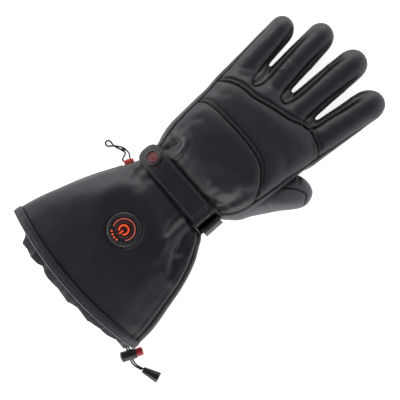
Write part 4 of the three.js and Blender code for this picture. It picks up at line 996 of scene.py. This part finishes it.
def ring_bars():
    """Middles of the ring's inner and outer bar."""
    inner = skin(RING_INNER_AT, BAR_HEIGHT)
    reach = RING_REACH - RING_BAR
    return inner, inner + np.array([math.cos(RING_TILT), -math.sin(RING_TILT)]) * reach


def turn_round(bar, start, sweep, count=10):
    """The middle line of leather that turns round a bar."""
    angles = start + sweep * np.linspace(0, 1, count)
    return [bar + BAR_CLEAR * np.array([math.cos(a), math.sin(a)]) for a in angles]


def strap_top(count=60):
    """Middle line (x, z) of the strap's upper layer, which leaves the wrist's shoulder nearly straight."""
    places = np.linspace(RING_INNER_AT - 5, -24, count)
    near = np.minimum((RING_INNER_AT - places) / 16, 1.0)
    height = BAR_HEIGHT + BAR_CLEAR + (TOP_HEIGHT - BAR_HEIGHT - BAR_CLEAR) * near ** 0.8
    line = [skin(p, h) for p, h in zip(places, height)]
    way = (line[-1] - line[-4]) / np.linalg.norm(line[-1] - line[-4])
    angle = math.atan2(way[1], way[0])
    while line[-1][0] > STRAP_TIP_X:
        angle += 0.019
        line.append(line[-1] + 0.8 * np.array([math.cos(angle), math.sin(angle)]))
    return np.array(line)


def strap_slice(across):
    """Middle line of the strap at one place across it: sewn end, round the ring, back to its tip."""
    line = [skin(p, BASE_HEIGHT) for p in np.linspace(STRAP_START, RING_INNER_AT - 1.5, 40)]
    line += turn_round(ring_bars()[0], -1.75, 2.9)
    top = strap_top()
    run = run_along(top)
    end = run[-1] - STRAP_WIDTH / 2 * (1 - math.sqrt(max(0.0, 1 - min(abs(across), 1.0) ** 2.4)))
    places = np.linspace(0, end, 70)
    line += list(np.column_stack([np.interp(places, run, top[:, 0]), np.interp(places, run, top[:, 1])]))
    return np.array(line)


def band(name, slices, rows, thickness):
    """A band of even thickness over slices in x and z at rows of y."""
    points = np.concatenate([crosswise(line, y) for line, y in zip(slices, rows)])
    length = len(slices[0])
    faces = [(r * length + i, r * length + i + 1, (r + 1) * length + i + 1, (r + 1) * length + i)
             for r in range(len(slices) - 1) for i in range(length - 1)]
    piece = new_piece(name, (points + SHIFT) * MM, faces)
    modify(piece, "SOLIDIFY", thickness=thickness * MM, offset=0)
    modify(piece, "BEVEL", width=0.32 * MM, segments=2, limit_method="ANGLE", angle_limit=math.radians(50))
    return piece


class GLOVE_OT_strap(Operator):
    """Lays the wrist strap through its ring, with the tab that holds the ring"""
    bl_idname = "glove.strap"
    bl_label = "Strap and ring"

    def execute(self, context):
        across = np.sin(np.linspace(-0.5, 0.5, 31) * np.pi)
        rows = STRAP_Y + across * STRAP_WIDTH / 2
        strap = band("strap_band", [strap_slice(v) for v in across], rows, STRAP_THICK - 0.1)
        finished(strap, "strap leather", ["wrist_strap"], angle=40)

        inner, outer = ring_bars()
        start = RING_INNER_AT + RING_REACH + 3
        rows = STRAP_Y + np.linspace(-0.5, 0.5, 17) * TAB_WIDTH
        up = [skin(p, TOP_HEIGHT) for p in np.linspace(TAB_END, start, 12)]
        down = [skin(p, BASE_HEIGHT) for p in np.linspace(start, TAB_END, 12)]
        slices = [np.array(up + turn_round(outer, 0.35, 2.9, 12) + down)] * len(rows)
        tab = band("tab_band", slices, rows, STRAP_THICK - 0.1)
        finished(tab, "strap leather", ["ring_tab"], angle=40)

        # The ring is a bent rod with its two ends welded, drawn as a path with a round section
        nothing_chosen()
        half = STRAP_WIDTH / 2 + GAP + RING_SIDE / 2
        reach = (RING_REACH - RING_BAR) / 2
        bend = 1.5
        corners = []
        for cx, cy, quarter in ((1, 1, 0), (-1, 1, 1), (-1, -1, 2), (1, -1, 3)):
            for a in (quarter / 2 + np.linspace(0, 0.5, 7)) * math.pi:
                x, y = cx * (reach - bend) + bend * math.cos(a), cy * (half - bend) + bend * math.sin(a)
                corners.append((x * MM, y * MM, 0, 1))
        path = bpy.data.curves.new("ring_path", "CURVE")
        path.dimensions = "3D"
        spline = path.splines.new("POLY")
        spline.points.add(len(corners) - 1)
        for point, corner in zip(spline.points, corners):
            point.co = corner
        spline.use_cyclic_u = True
        path.bevel_depth = (RING_BAR / 2 - 0.08) * MM
        path.bevel_resolution = 4
        ring = bpy.data.objects.new("ring_wire", path)
        bpy.context.collection.objects.link(ring)
        middle = (inner + outer) / 2
        ring.location = (np.array([middle[0], STRAP_Y, middle[1]]) + SHIFT) * MM
        ring.rotation_euler = (0, RING_TILT, 0)
        choose(ring)
        bpy.ops.object.convert(target="MESH")
        finished(ring, "black nylon", ["strap_ring"])
        return {"FINISHED"}


def turned(name, radius, low, high, steps, edge=0.35, sides=96):
    """A turned piece from a cylinder, its top stepped by insets of (inwards, up) in millimetres."""
    nothing_chosen()
    bpy.ops.mesh.primitive_cylinder_add(
        vertices=sides, radius=radius * MM, depth=(high - low) * MM, location=(0, 0, (high + low) / 2 * MM))
    piece = bpy.context.object
    piece.name = piece.data.name = name
    bpy.ops.object.transform_apply(location=True, rotation=True, scale=True)
    choose_faces(piece, lambda face: face.normal.z > 0.9)
    inset_steps(steps)
    modify(piece, "BEVEL", width=edge * MM, segments=3, limit_method="ANGLE", angle_limit=math.radians(32))
    return piece


def spun_arc(name, inner, outer, low, high, start, end):
    """A flat bar spun part of the way round the middle."""
    nothing_chosen()
    bpy.ops.mesh.primitive_plane_add(size=1, location=(0, 0, 0))
    piece = bpy.context.object
    piece.name = piece.data.name = name
    a = math.radians(start)
    corners = ((inner, low), (outer, low), (inner, high), (outer, high))
    for vertex, (r, z) in zip(piece.data.vertices, corners):
        vertex.co = Vector((r * math.cos(a), r * math.sin(a), z)) * MM
    bpy.ops.object.mode_set(mode="EDIT")
    bpy.ops.mesh.select_mode(type="VERT")
    bpy.ops.mesh.select_all(action="SELECT")
    steps = max(int((end - start) / 4), 6)
    bpy.ops.mesh.spin(steps=steps, angle=math.radians(end - start), center=(0, 0, 0), axis=(0, 0, -1))
    # The two ends are closed with a face each, and all faces turned outwards
    bpy.ops.mesh.select_all(action="SELECT")
    bpy.ops.mesh.remove_doubles(threshold=0.01 * MM)
    bpy.ops.mesh.select_all(action="DESELECT")
    bpy.ops.mesh.select_non_manifold()
    bpy.ops.mesh.edge_face_add()
    bpy.ops.mesh.select_all(action="SELECT")
    bpy.ops.mesh.normals_make_consistent(inside=False)
    bpy.ops.object.mode_set(mode="OBJECT")
    modify(piece, "BEVEL", width=0.25 * MM, segments=2, limit_method="ANGLE", angle_limit=math.radians(50))
    return piece


def placed(piece, origin, turn):
    """Moves a piece made round the Z axis to its seat."""
    piece.matrix_world = Matrix.Translation(Vector((np.array(origin) + SHIFT) * MM)) @ turn.to_4x4()
    return piece


def power_symbol(name, size, height, thick):
    """The common sign for on and off: an open ring with a bar, as one mesh."""
    ring = spun_arc(name, size - thick, size, 0, height, 125, 415)
    nothing_chosen()
    bpy.ops.mesh.primitive_cube_add(size=1, location=(0, size * 0.64 * MM, height / 2 * MM))
    bar = bpy.context.object
    bar.scale = (thick * MM, size * 0.95 * MM, height * MM)
    bpy.ops.object.transform_apply(location=True, rotation=True, scale=True)
    modify(bar, "BEVEL", width=0.2 * MM, segments=2)
    return joined([ring, bar], name)


class GLOVE_OT_badge(Operator):
    """Sets the round badge on the tip of the strap"""
    bl_idname = "glove.badge"
    bl_label = "Badge"

    def execute(self, context):
        line = strap_top()
        at = int(np.argmin(np.abs(line[:, 0] - BADGE_X)))
        way = line[at + 4] - line[at - 4]
        tilt = math.atan2(way[1], -way[0])
        up = np.array([math.sin(tilt), math.cos(tilt)])
        seat = line[at] + up * (STRAP_THICK / 2 - 0.05)
        turn = Matrix.Rotation(tilt, 3, "Y")
        origin = (seat[0], STRAP_Y + 0.5, seat[1])
        rim = turned("badge_surround", 8.5, 0, 1.2, ((0.7, 0.45), (1.3, 0.1), (0.5, -0.25), (0.3, -0.5)))
        finished(placed(rim, origin, turn), "black nylon", ["badge_rim"])
        face = turned("badge_disc", 5.7, 0.3, 1.2, ((0.7, 0.3), (1.6, 0.12), (0.3, -0.15), (0.3, 0.15)), 0.2)
        finished(placed(face, origin, turn), "dark red abs", ["badge_face"])
        return {"FINISHED"}


class GLOVE_OT_button(Operator):
    """Sets the control button with its lit ring, sign and lamps in the cuff"""
    bl_idname = "glove.button"
    bl_label = "Control button"

    def execute(self, context):
        origin = (*BUTTON, smooth_rows(SECTIONS, BUTTON[1])[0][3])
        turn = Matrix.Rotation(-BUTTON_TILT, 3, "X")
        surround = turned("button_housing", 17.0, -3.0, -0.7, (
            (1.0, 0.7), (1.6, 0.35), (0.7, -0.15), (0.35, -0.7), (4.4, 0.0), (0.3, -0.4)), 0.25)
        finished(placed(surround, origin, turn), "soft black abs", ["button_surround"])
        light = spun_arc("lit_ring", 10.3, 11.5, -0.7, 0.35, LIGHT_START, LIGHT_END)
        finished(placed(light, origin, turn), "lit ring", ["light_ring"])
        cap = turned("button_press", 8.7, -1.4, 0.1, ((0.8, 0.35), (1.6, 0.12), (2.2, 0.06)), 0.3)
        finished(placed(cap, origin, turn), "smoked red", ["button_cap"])
        sign = power_symbol("button_sign", 5.4, 0.3, 1.5)
        lifted = (origin[0], origin[1] - 0.3, origin[2] + 0.5)
        placed(sign, lifted, turn @ Matrix.Rotation(SIGN_TURN, 3, "Z"))
        finished(sign, "lit polycarbonate")
        for i, angle in enumerate(LAMP_ANGLES, 1):
            a = math.radians(angle)
            lamp = turned(f"lamp_lens_{i}", 1.0, -0.6, 0.25, ((0.25, 0.25), (0.3, 0.1)), 0.12, sides=24)
            spot = (origin[0] + LAMP_RING * math.cos(a), origin[1] + LAMP_RING * math.sin(a), origin[2])
            finished(placed(lamp, spot, turn), "lit polycarbonate", [f"lamp_{i}"])
        return {"FINISHED"}


# Zip

def cuff_side(y, z):
    """How far out to the left the cuff's skin lies at a height."""
    left, right, low, high, square = smooth_rows(SECTIONS, y)[0]
    up = (z - (low + high) / 2) / ((high - low) / 2)
    return (left + right) / 2 - (right - left) / 2 * (1 - abs(up) ** square) ** (1 / square)


def block(name, sizes, edge):
    """A small block with rounded edges, its middle at the origin."""
    nothing_chosen()
    bpy.ops.mesh.primitive_cube_add(size=1)
    piece = bpy.context.object
    piece.name = piece.data.name = name
    piece.scale = [s * MM for s in sizes]
    bpy.ops.object.transform_apply(location=True, rotation=True, scale=True)
    modify(piece, "BEVEL", width=edge * MM, segments=2)
    return piece


def scattered(name, model, places):
    """One mesh with a copy of a small model at each place, a matrix in metres."""
    base = np.array([v.co[:] for v in model.data.vertices])
    faces = [list(p.vertices) for p in model.data.polygons]
    points, all_faces = [], []
    for n, matrix in enumerate(places):
        m = np.array(matrix)
        points.append(base @ m[:3, :3].T + m[:3, 3])
        all_faces += [[v + n * len(base) for v in face] for face in faces]
    bpy.data.objects.remove(model)
    return new_piece(name, np.concatenate(points), all_faces)


class GLOVE_OT_zip(Operator):
    """Sets the zip in the side of the cuff, with its tape, teeth and slider"""
    bl_idname = "glove.zip"
    bl_label = "Zip"

    def execute(self, context):
        # The tape bulges a little along its middle, where the teeth sit, and dips at its two edges
        rings = []
        for y in np.linspace(ZIP_END, ZIP_START, 90):
            out, into = [], []
            for v in np.linspace(-TAPE_HALF, TAPE_HALF, 15):
                x = cuff_side(y, ZIP_LEVEL + v)
                bulge = 0.4 * abs(v / TAPE_HALF) ** 4 - 0.3 * math.exp(-(v / 0.9) ** 2)
                out.append((x - 0.3 - bulge, y, ZIP_LEVEL + v))
                into.append((x + 0.35, y, ZIP_LEVEL + v))
            rings.append(np.array(into + out[::-1]))
        tape = lofted("zip_tape", rings, capped=True)
        finished(tape, "binding cloth", ["zip_strip"], angle=60)

        places = []
        for i, y in enumerate(np.arange(ZIP_END + 1.5, ZIP_START - 1.5, 1.15)):
            up = 0.42 if i % 2 else -0.42
            x = cuff_side(y, ZIP_LEVEL) - 0.45
            slope = math.atan2(cuff_side(y + 1, ZIP_LEVEL) - cuff_side(y - 1, ZIP_LEVEL), 2)
            spot = Matrix.Translation(Vector((np.array([x, y, ZIP_LEVEL + up]) + SHIFT) * MM))
            places.append(spot @ Matrix.Rotation(-slope, 4, "Z"))
        teeth = scattered("zip_teeth", block("tooth", (0.9, 0.75, 1.9), 0.2), places)
        finished(teeth, "black nylon")

        # The slider grips the teeth; its narrow end looks to the hem, and a bar on it holds the pull cord
        body = block("zip_runner", (4.2, 10.0, 5.0), 0.7)
        choose_faces(body, lambda face: face.normal.x < -0.95)
        inset_steps(((0.5, -0.35), (0.7, 0.5)))
        for vertex in body.data.vertices:
            if vertex.co.y < 0:
                vertex.co.z *= 1 + 0.14 * vertex.co.y / (5 * MM)
        bar = block("bar", (1.1, 6.0, 1.3), 0.35)
        bar.location.x = -2.4 * MM
        for at_y in (-3.0, 3.0):
            foot = block("foot", (1.6, 1.1, 1.3), 0.3)
            foot.location = (-2.0 * MM, at_y * MM, 0)
            bar = joined([bar, foot], "bar")
        body = joined([body, bar], "zip_runner")
        turn = Matrix.Rotation(-SLIDER_TURN, 3, "Z")
        placed(body, (cuff_side(SLIDER_Y, ZIP_LEVEL) - 2.05, SLIDER_Y, ZIP_LEVEL), turn)
        finished(body, "red metal", ["zip_slider"], angle=35)
        return {"FINISHED"}


# Cord lock and cords

def lock_place(across, along, z):
    """A place given across the lock and along it."""
    cos, sin = math.cos(LOCK_TURN), math.sin(LOCK_TURN)
    return np.array([LOCK[0] + across * cos + along * sin, LOCK[1] - across * sin + along * cos, z])


def cut(piece, cutter):
    modify(piece, "BOOLEAN", operation="DIFFERENCE", solver="EXACT", object=cutter)
    bpy.data.objects.remove(cutter)


class GLOVE_OT_lock(Operator):
    """Makes the cord lock, its sprung plunger, and the end that joins the two strands"""
    bl_idname = "glove.lock"
    bl_label = "Cord lock"

    def execute(self, context):
        # Both are turned round Z with the barrel's closed end at the bottom, then laid along the lock
        turn = Matrix.Rotation(-LOCK_TURN, 3, "Z") @ Matrix.Rotation(-math.pi / 2, 3, "X")
        origin = lock_place(0, 0, LOCK_RADIUS + 0.35)
        low = -CORD_HOLE_AT
        barrel = turned("lock_barrel", LOCK_RADIUS, low, low + LOCK_LENGTH, (
            (0.75, 0.0), (0.01, -BORE_DEPTH)), 0.3, 48)
        choose_faces(barrel, lambda face: face.normal.z < -0.9 and face.center.z < (low + 0.1) * MM)
        inset_steps(((0.25, 0.7), (0.55, 0.65), (0.9, 0.55), (1.3, 0.3)))
        cut(barrel, block("slot", (20, 2.9, 5.4), 0.8))
        for height in (4.2, 5.4):
            nothing_chosen()
            bpy.ops.mesh.primitive_torus_add(
                major_radius=(LOCK_RADIUS + 0.12) * MM, minor_radius=0.35 * MM, major_segments=48,
                minor_segments=8, location=(0, 0, height * MM))
            cut(barrel, context.object)
        finished(placed(barrel, origin, turn), "black nylon", ["cord_lock_barrel"], angle=35)

        top = low + LOCK_LENGTH + PLUNGER_OUT
        plunger = turned("lock_plunger", 4.3, -3.5, top - 1.4, ((0.35, 0.7), (0.7, 0.5), (0.9, 0.2)), 0.3, 48)
        slot = block("slot", (20, 2.7, 8.0), 0.5)
        slot.location.z = PLUNGER_TRAVEL / 2 * MM
        choose(slot)
        bpy.ops.object.transform_apply(location=True)
        cut(plunger, slot)
        placed(plunger, origin, turn)
        finished(plunger, "red abs", ["cord_lock_plunger"], "plunger", angle=35)

        # The end of the cord: a flared block with chamfered corners, whose mouth takes both strands
        nothing_chosen()
        bpy.ops.mesh.primitive_cylinder_add(vertices=8, radius=1, depth=1, rotation=(0, 0, math.pi / 8))
        end = bpy.context.object
        end.name = end.data.name = "cord_tip"
        bpy.ops.object.transform_apply(rotation=True)
        for vertex in end.data.vertices:
            wide, thick, z = (6.12, 3.978, CORD_END_LENGTH) if vertex.co.z > 0 else (3.264, 3.06, 0)
            vertex.co = Vector((vertex.co.x * wide, vertex.co.y * thick, z)) * MM
        choose_faces(end, lambda face: face.normal.z < -0.9)
        inset_steps(((0.5, 0), (0.02, -4.6)))
        choose_faces(end, lambda face: face.normal.z > 0.9)
        inset_steps(((0.9, 0.25), (0.5, -0.35)))
        modify(end, "BEVEL", width=0.45 * MM, segments=3, limit_method="ANGLE", angle_limit=math.radians(30))
        lie = Matrix.Rotation(CORD_END_TURN - math.pi / 2, 3, "Z") @ Matrix.Rotation(-math.pi / 2, 3, "X")
        placed(end, lock_place(*STRAND_ROUTE[-1]), lie)
        finished(end, "black nylon", ["cord_end"], angle=30)
        return {"FINISHED"}


def braided(name, route, diameter, step):
    """A braided cord along a route: a tube whose surface carries the bumps of its strands."""
    line = smooth_line(route, step)
    run = run_along(line)
    tangent = np.gradient(line, axis=0)
    tangent /= np.linalg.norm(tangent, axis=1)[:, None]
    side = np.array([0.3, 0.9, 0.2])
    angle = np.arange(12) * 2 * np.pi / 12
    rings = []
    for point, way, place in zip(line, tangent, run):
        side = side - way * (side @ way)
        side /= np.linalg.norm(side)
        twist = 2 * np.pi * place / 2.4
        radius = diameter / 2 * (0.97 + 0.06 * np.cos(3 * angle + twist) * np.cos(3 * angle - twist))
        round_it = np.cos(angle)[:, None] * side + np.sin(angle)[:, None] * np.cross(way, side)
        rings.append(point + radius[:, None] * round_it)
    tube = lofted(name, rings, capped=True)
    choose(tube)
    bpy.ops.object.mode_set(mode="EDIT")
    bpy.ops.mesh.select_all(action="SELECT")
    bpy.ops.mesh.normals_make_consistent(inside=False)
    bpy.ops.object.mode_set(mode="OBJECT")
    return tube, (line + SHIFT) * MM, run[-1] * MM


class GLOVE_OT_cords(Operator):
    """Lays the pull cord of the zip and the two strands of the drawcord"""
    bl_idname = "glove.cords"
    bl_label = "Cords"

    def execute(self, context):
        pull, path, length = braided("zip_pull", PULL_ROUTE, PULL_DIAMETER, 0.6)
        finished(pull, "braided cord", ["zip_pull_cord"], angle=80)
        # The knot that closes the loop, drawn tight
        nothing_chosen()
        bpy.ops.mesh.primitive_torus_add(
            major_radius=1.35 * MM, minor_radius=0.85 * MM, major_segments=24, minor_segments=10,
            location=(np.array(KNOT_AT) + SHIFT) * MM, rotation=(1.1, 0.35, 0.3))
        knot = context.object
        knot.name = knot.data.name = "pull_knot"
        finished(knot, "braided cord", angle=80)
        for name, side, node in (("strand_left", -1, "drawcord_left"), ("strand_right", 1, "drawcord_right")):
            route = [lock_place(across, along + side * STRAND_SPREAD, z) for across, along, z in STRAND_ROUTE]
            strand, path, length = braided(name, route, STRAND_DIAMETER, 0.7)
            finished(strand, "braided cord", [node], angle=80)
        return {"FINISHED"}


# Stitching

def surface_under(name):
    """A test that finds a piece's surface below a place in plan, and its normal."""
    mesh = bpy.data.objects[name].data
    tree = BVHTree.FromPolygons([v.co for v in mesh.vertices], [p.vertices[:] for p in mesh.polygons])

    def find(x, y):
        start = Vector((np.array([x, y, 90.0]) + SHIFT) * MM)
        return tree.ray_cast(start, Vector((0, 0, -1)))[:2]
    return find


def stitch_places(line, spacing, find, sink=0.1):
    """Where each stitch of a line lies, along the line and flat on the leather."""
    line = smooth_line(line, spacing)
    places = []
    for a, b in zip(line[:-1], line[1:]):
        spot, normal = find(*((a + b) / 2)[:2])
        if spot is None or normal.z < 0.25:
            continue
        way = Vector((*(b - a)[:2], 0)).normalized()
        way = (way - normal * way.dot(normal)).normalized()
        turn = Matrix((way, normal.cross(way), normal)).transposed().to_4x4()
        places.append(Matrix.Translation(spot + normal * sink * MM) @ turn)
    return places


class GLOVE_OT_stitches(Operator):
    """Sews the visible rows of stitches"""
    bl_idname = "glove.stitches"
    bl_label = "Stitching"

    def execute(self, context):
        spacing = context.scene.glove_sizes.stitch / MM
        hand = surface_under("hand_leather")
        places = []
        for seam in (LOW_SEAM, HIGH_SEAM):
            places += stitch_places(np.array(seam, float)[:-1] + (0, STITCH_BESIDE), spacing, hand)
        for strip in SIDE_STRIPS:
            west, east = strip_sides(strip)
            places += stitch_places(west[3:][::-1] + (-1.9, 0), spacing, hand)
            places += stitch_places(east[3:] + (1.9, 0), spacing, hand)
        edge = cuff_edge(7.2, np.linspace(16, CUFF_LENGTH - 10, 16))
        places += stitch_places(edge, spacing, surface_under("cuff_leather"))
        arc = [(x, hem_arc(x, HEM_BAND - 1.2)) for x in np.linspace(-80, 78, 30)]
        places += stitch_places(arc, spacing, surface_under("hem_leather"))
        sewn = scattered("leather_stitches", block("stitch", (2.0, 0.5, 0.42), 0.15), places)
        finished(sewn, "thread", angle=60)

        # On the strap: a row along each side and two across its folded end, 2.4 mm from stitch to stitch
        strap = surface_under("strap_band")
        half = STRAP_WIDTH / 2 - STITCH_BESIDE
        rows = [[(x, STRAP_Y + side * half) for x in np.linspace(30, -48, 20)] for side in (-1, 1)]
        rows += [[(x, STRAP_Y + v) for v in np.linspace(-half, half, 6)] for x in (28.5, 31.5)]
        places = [place for row in rows for place in stitch_places(row, 2.4, strap)]
        sewn = scattered("strap_stitches", block("stitch", (1.7, 0.45, 0.4), 0.14), places)
        finished(sewn, "light thread", angle=60)
        return {"FINISHED"}


# Stage

class GLOVE_OT_stage(Operator):
    """Lays the floor and sets the lights and the camera"""
    bl_idname = "glove.stage"
    bl_label = "Stage"

    def execute(self, context):
        nothing_chosen()
        bpy.ops.mesh.primitive_plane_add(size=6, location=(0, 0, -0.0002))
        floor = context.object
        floor.name = "floor"
        material, tree, shader = new_finish("studio floor")
        shader.inputs["Base Color"].default_value = linear("#fbfbfb")
        shader.inputs["Roughness"].default_value = 0.9
        shader.inputs["Emission Color"].default_value = linear("#ffffff")
        shader.inputs["Emission Strength"].default_value = 0.85
        floor.data.materials.append(material)

        world = bpy.data.worlds.new("studio")
        world.use_nodes = True
        back = world.node_tree.nodes["Background"]
        back.inputs["Color"].default_value = linear("#f3eeff")
        tree = world.node_tree
        way = add_node(tree, "ShaderNodeSeparateXYZ", (), {
            "Vector": add_node(tree, "ShaderNodeTexCoord").outputs["Generated"]})
        sweep = add_node(tree, "ShaderNodeMapRange", {"interpolation_type": "SMOOTHSTEP"}, {
            "Value": way.outputs["Z"], "From Min": 0.12, "From Max": 0.5, "To Min": 1.0, "To Max": 0.1})
        tree.links.new(sweep.outputs["Result"], back.inputs["Strength"])
        context.scene.world = world
        for name, bearing, height, length, power in LIGHTS:
            a = math.radians(bearing + CAMERA_TURN)
            spot = LOOK_AT + Vector((math.cos(a) * LIGHT_AWAY, math.sin(a) * LIGHT_AWAY, height))
            bpy.ops.object.light_add(type="AREA", location=spot)
            lamp = context.object
            lamp.name = name
            lamp.data.shape = "RECTANGLE"
            lamp.data.size = length
            lamp.data.size_y = 0.8
            lamp.data.energy = power
            lamp.rotation_euler = (spot - LOOK_AT).to_track_quat("Z", "Y").to_euler()
        bpy.ops.object.camera_add(
            location=LOOK_AT + Vector((0, 0, CAMERA_HEIGHT)), rotation=(0, 0, math.radians(CAMERA_TURN)))
        camera = context.object
        camera.data.lens = 270
        camera.data.sensor_width = 36
        context.scene.camera = camera
        context.scene.view_settings.view_transform = "Standard"
        return {"FINISHED"}


class GLOVE_PT_panel(Panel):
    """Steps that dress the glove"""
    bl_label = "Heated glove"
    bl_idname = "GLOVE_PT_panel"
    bl_space_type = "VIEW_3D"
    bl_region_type = "UI"
    bl_category = "Glove"

    def draw(self, context):
        for step in STEPS:
            self.layout.operator(f"glove.{step}")
        for group in (context.scene.glove_sizes, context.scene.glove_colours):
            for name in group.__annotations__:
                self.layout.prop(group, name)


# The lock comes before the cords, whose strands end in its fitting; the stitches find the finished leather
STEPS = (
    "stage", "lock", "cords", "hand", "thumb", "cuff", "hem", "skirt", "strap", "badge", "button", "zip",
    "stitches",
)
CLASSES = (
    GloveSizes, GloveColours, GLOVE_OT_stage, GLOVE_OT_cords, GLOVE_OT_hand, GLOVE_OT_thumb, GLOVE_OT_cuff,
    GLOVE_OT_hem, GLOVE_OT_skirt, GLOVE_OT_strap, GLOVE_OT_badge, GLOVE_OT_button, GLOVE_OT_zip,
    GLOVE_OT_lock, GLOVE_OT_stitches, GLOVE_PT_panel,
)


def register():
    for cls in CLASSES:
        bpy.utils.register_class(cls)
    bpy.types.Scene.glove_sizes = PointerProperty(type=GloveSizes)
    bpy.types.Scene.glove_colours = PointerProperty(type=GloveColours)


def unregister():
    del bpy.types.Scene.glove_colours
    del bpy.types.Scene.glove_sizes
    for cls in reversed(CLASSES):
        bpy.utils.unregister_class(cls)


def make_finishes():
    colours = bpy.context.scene.glove_colours
    # Smooth cowhide: broad soft lights, with painted shade and dulled shine along the seams; the side strips
    # are a shade lighter
    leather("hand leather", "#1f1d22", "#252429", 0.42, 1.1, 0.05, "side_leather", seams=True)
    leather("cuff leather", "#161119", "#1c171f", 0.42, 1.2, 0.05, seams=True)
    # Buffed cowhide for grip: lighter, with a coarser grain and less shine
    leather("grip leather", "#47464a", "#555458", 0.5, 1.4, 0.09, seams=True)
    # Thin split leather, rolled round an edge or pressed flat: nearly plain, with a tight highlight
    leather("binding leather", "#201c23", "#27242a", 0.44, 1.0, 0.05)
    # The piping's light grey is a painted highlight on the rolled edge of the hem
    leather("highlight_piping", "#56545a", "#636167", 0.3, 1.0, 0.02)
    leather("strap leather", "#18161b", "#1d1b20", 0.44, 0.8, 0.04)
    # Woven polyamide: dull, with threads drawn a little coarse so that they show
    woven("lining cloth", "#161018", "#1e1722", 0.62, 0.5, 0.06)
    woven("binding cloth", "#1a1a1c", "#222224", 0.75, 0.7, 0.1)
    woven("braided cord", "#070708", "#0d0d0e", 0.7, 0.5, 0.05)
    woven("thread", "#1d1d1f", "#2b2b2d", 0.55, 0.3, 0.02)
    woven("light thread", "#4a494d", "#5c5b60", 0.5, 0.3, 0.02)
    # Moulded nylon and ABS: even satin; the slider is die-cast zinc under red paint, so it has a coat
    moulded("black nylon", "#161617", 0.38)
    moulded("soft black abs", "#151416", 0.5)
    moulded("smoked red", "#35100e", 0.4)
    moulded("red abs", "#a3292b", 0.4)
    moulded("dark red abs", "#5c151b", 0.45)
    moulded("red metal", "#c94a3f", 0.34, metallic=0.2, coat=0.3)
    # Clear polycarbonate over red lamps: an even glow
    lit("lit polycarbonate", colours.light, colours.glow)
    lit("lit ring", colours.ring, 0.35 * colours.glow)


def main():
    register()
    make_finishes()
    for step in STEPS:
        getattr(bpy.ops.glove, step)()


if __name__ == "__main__":
    main()
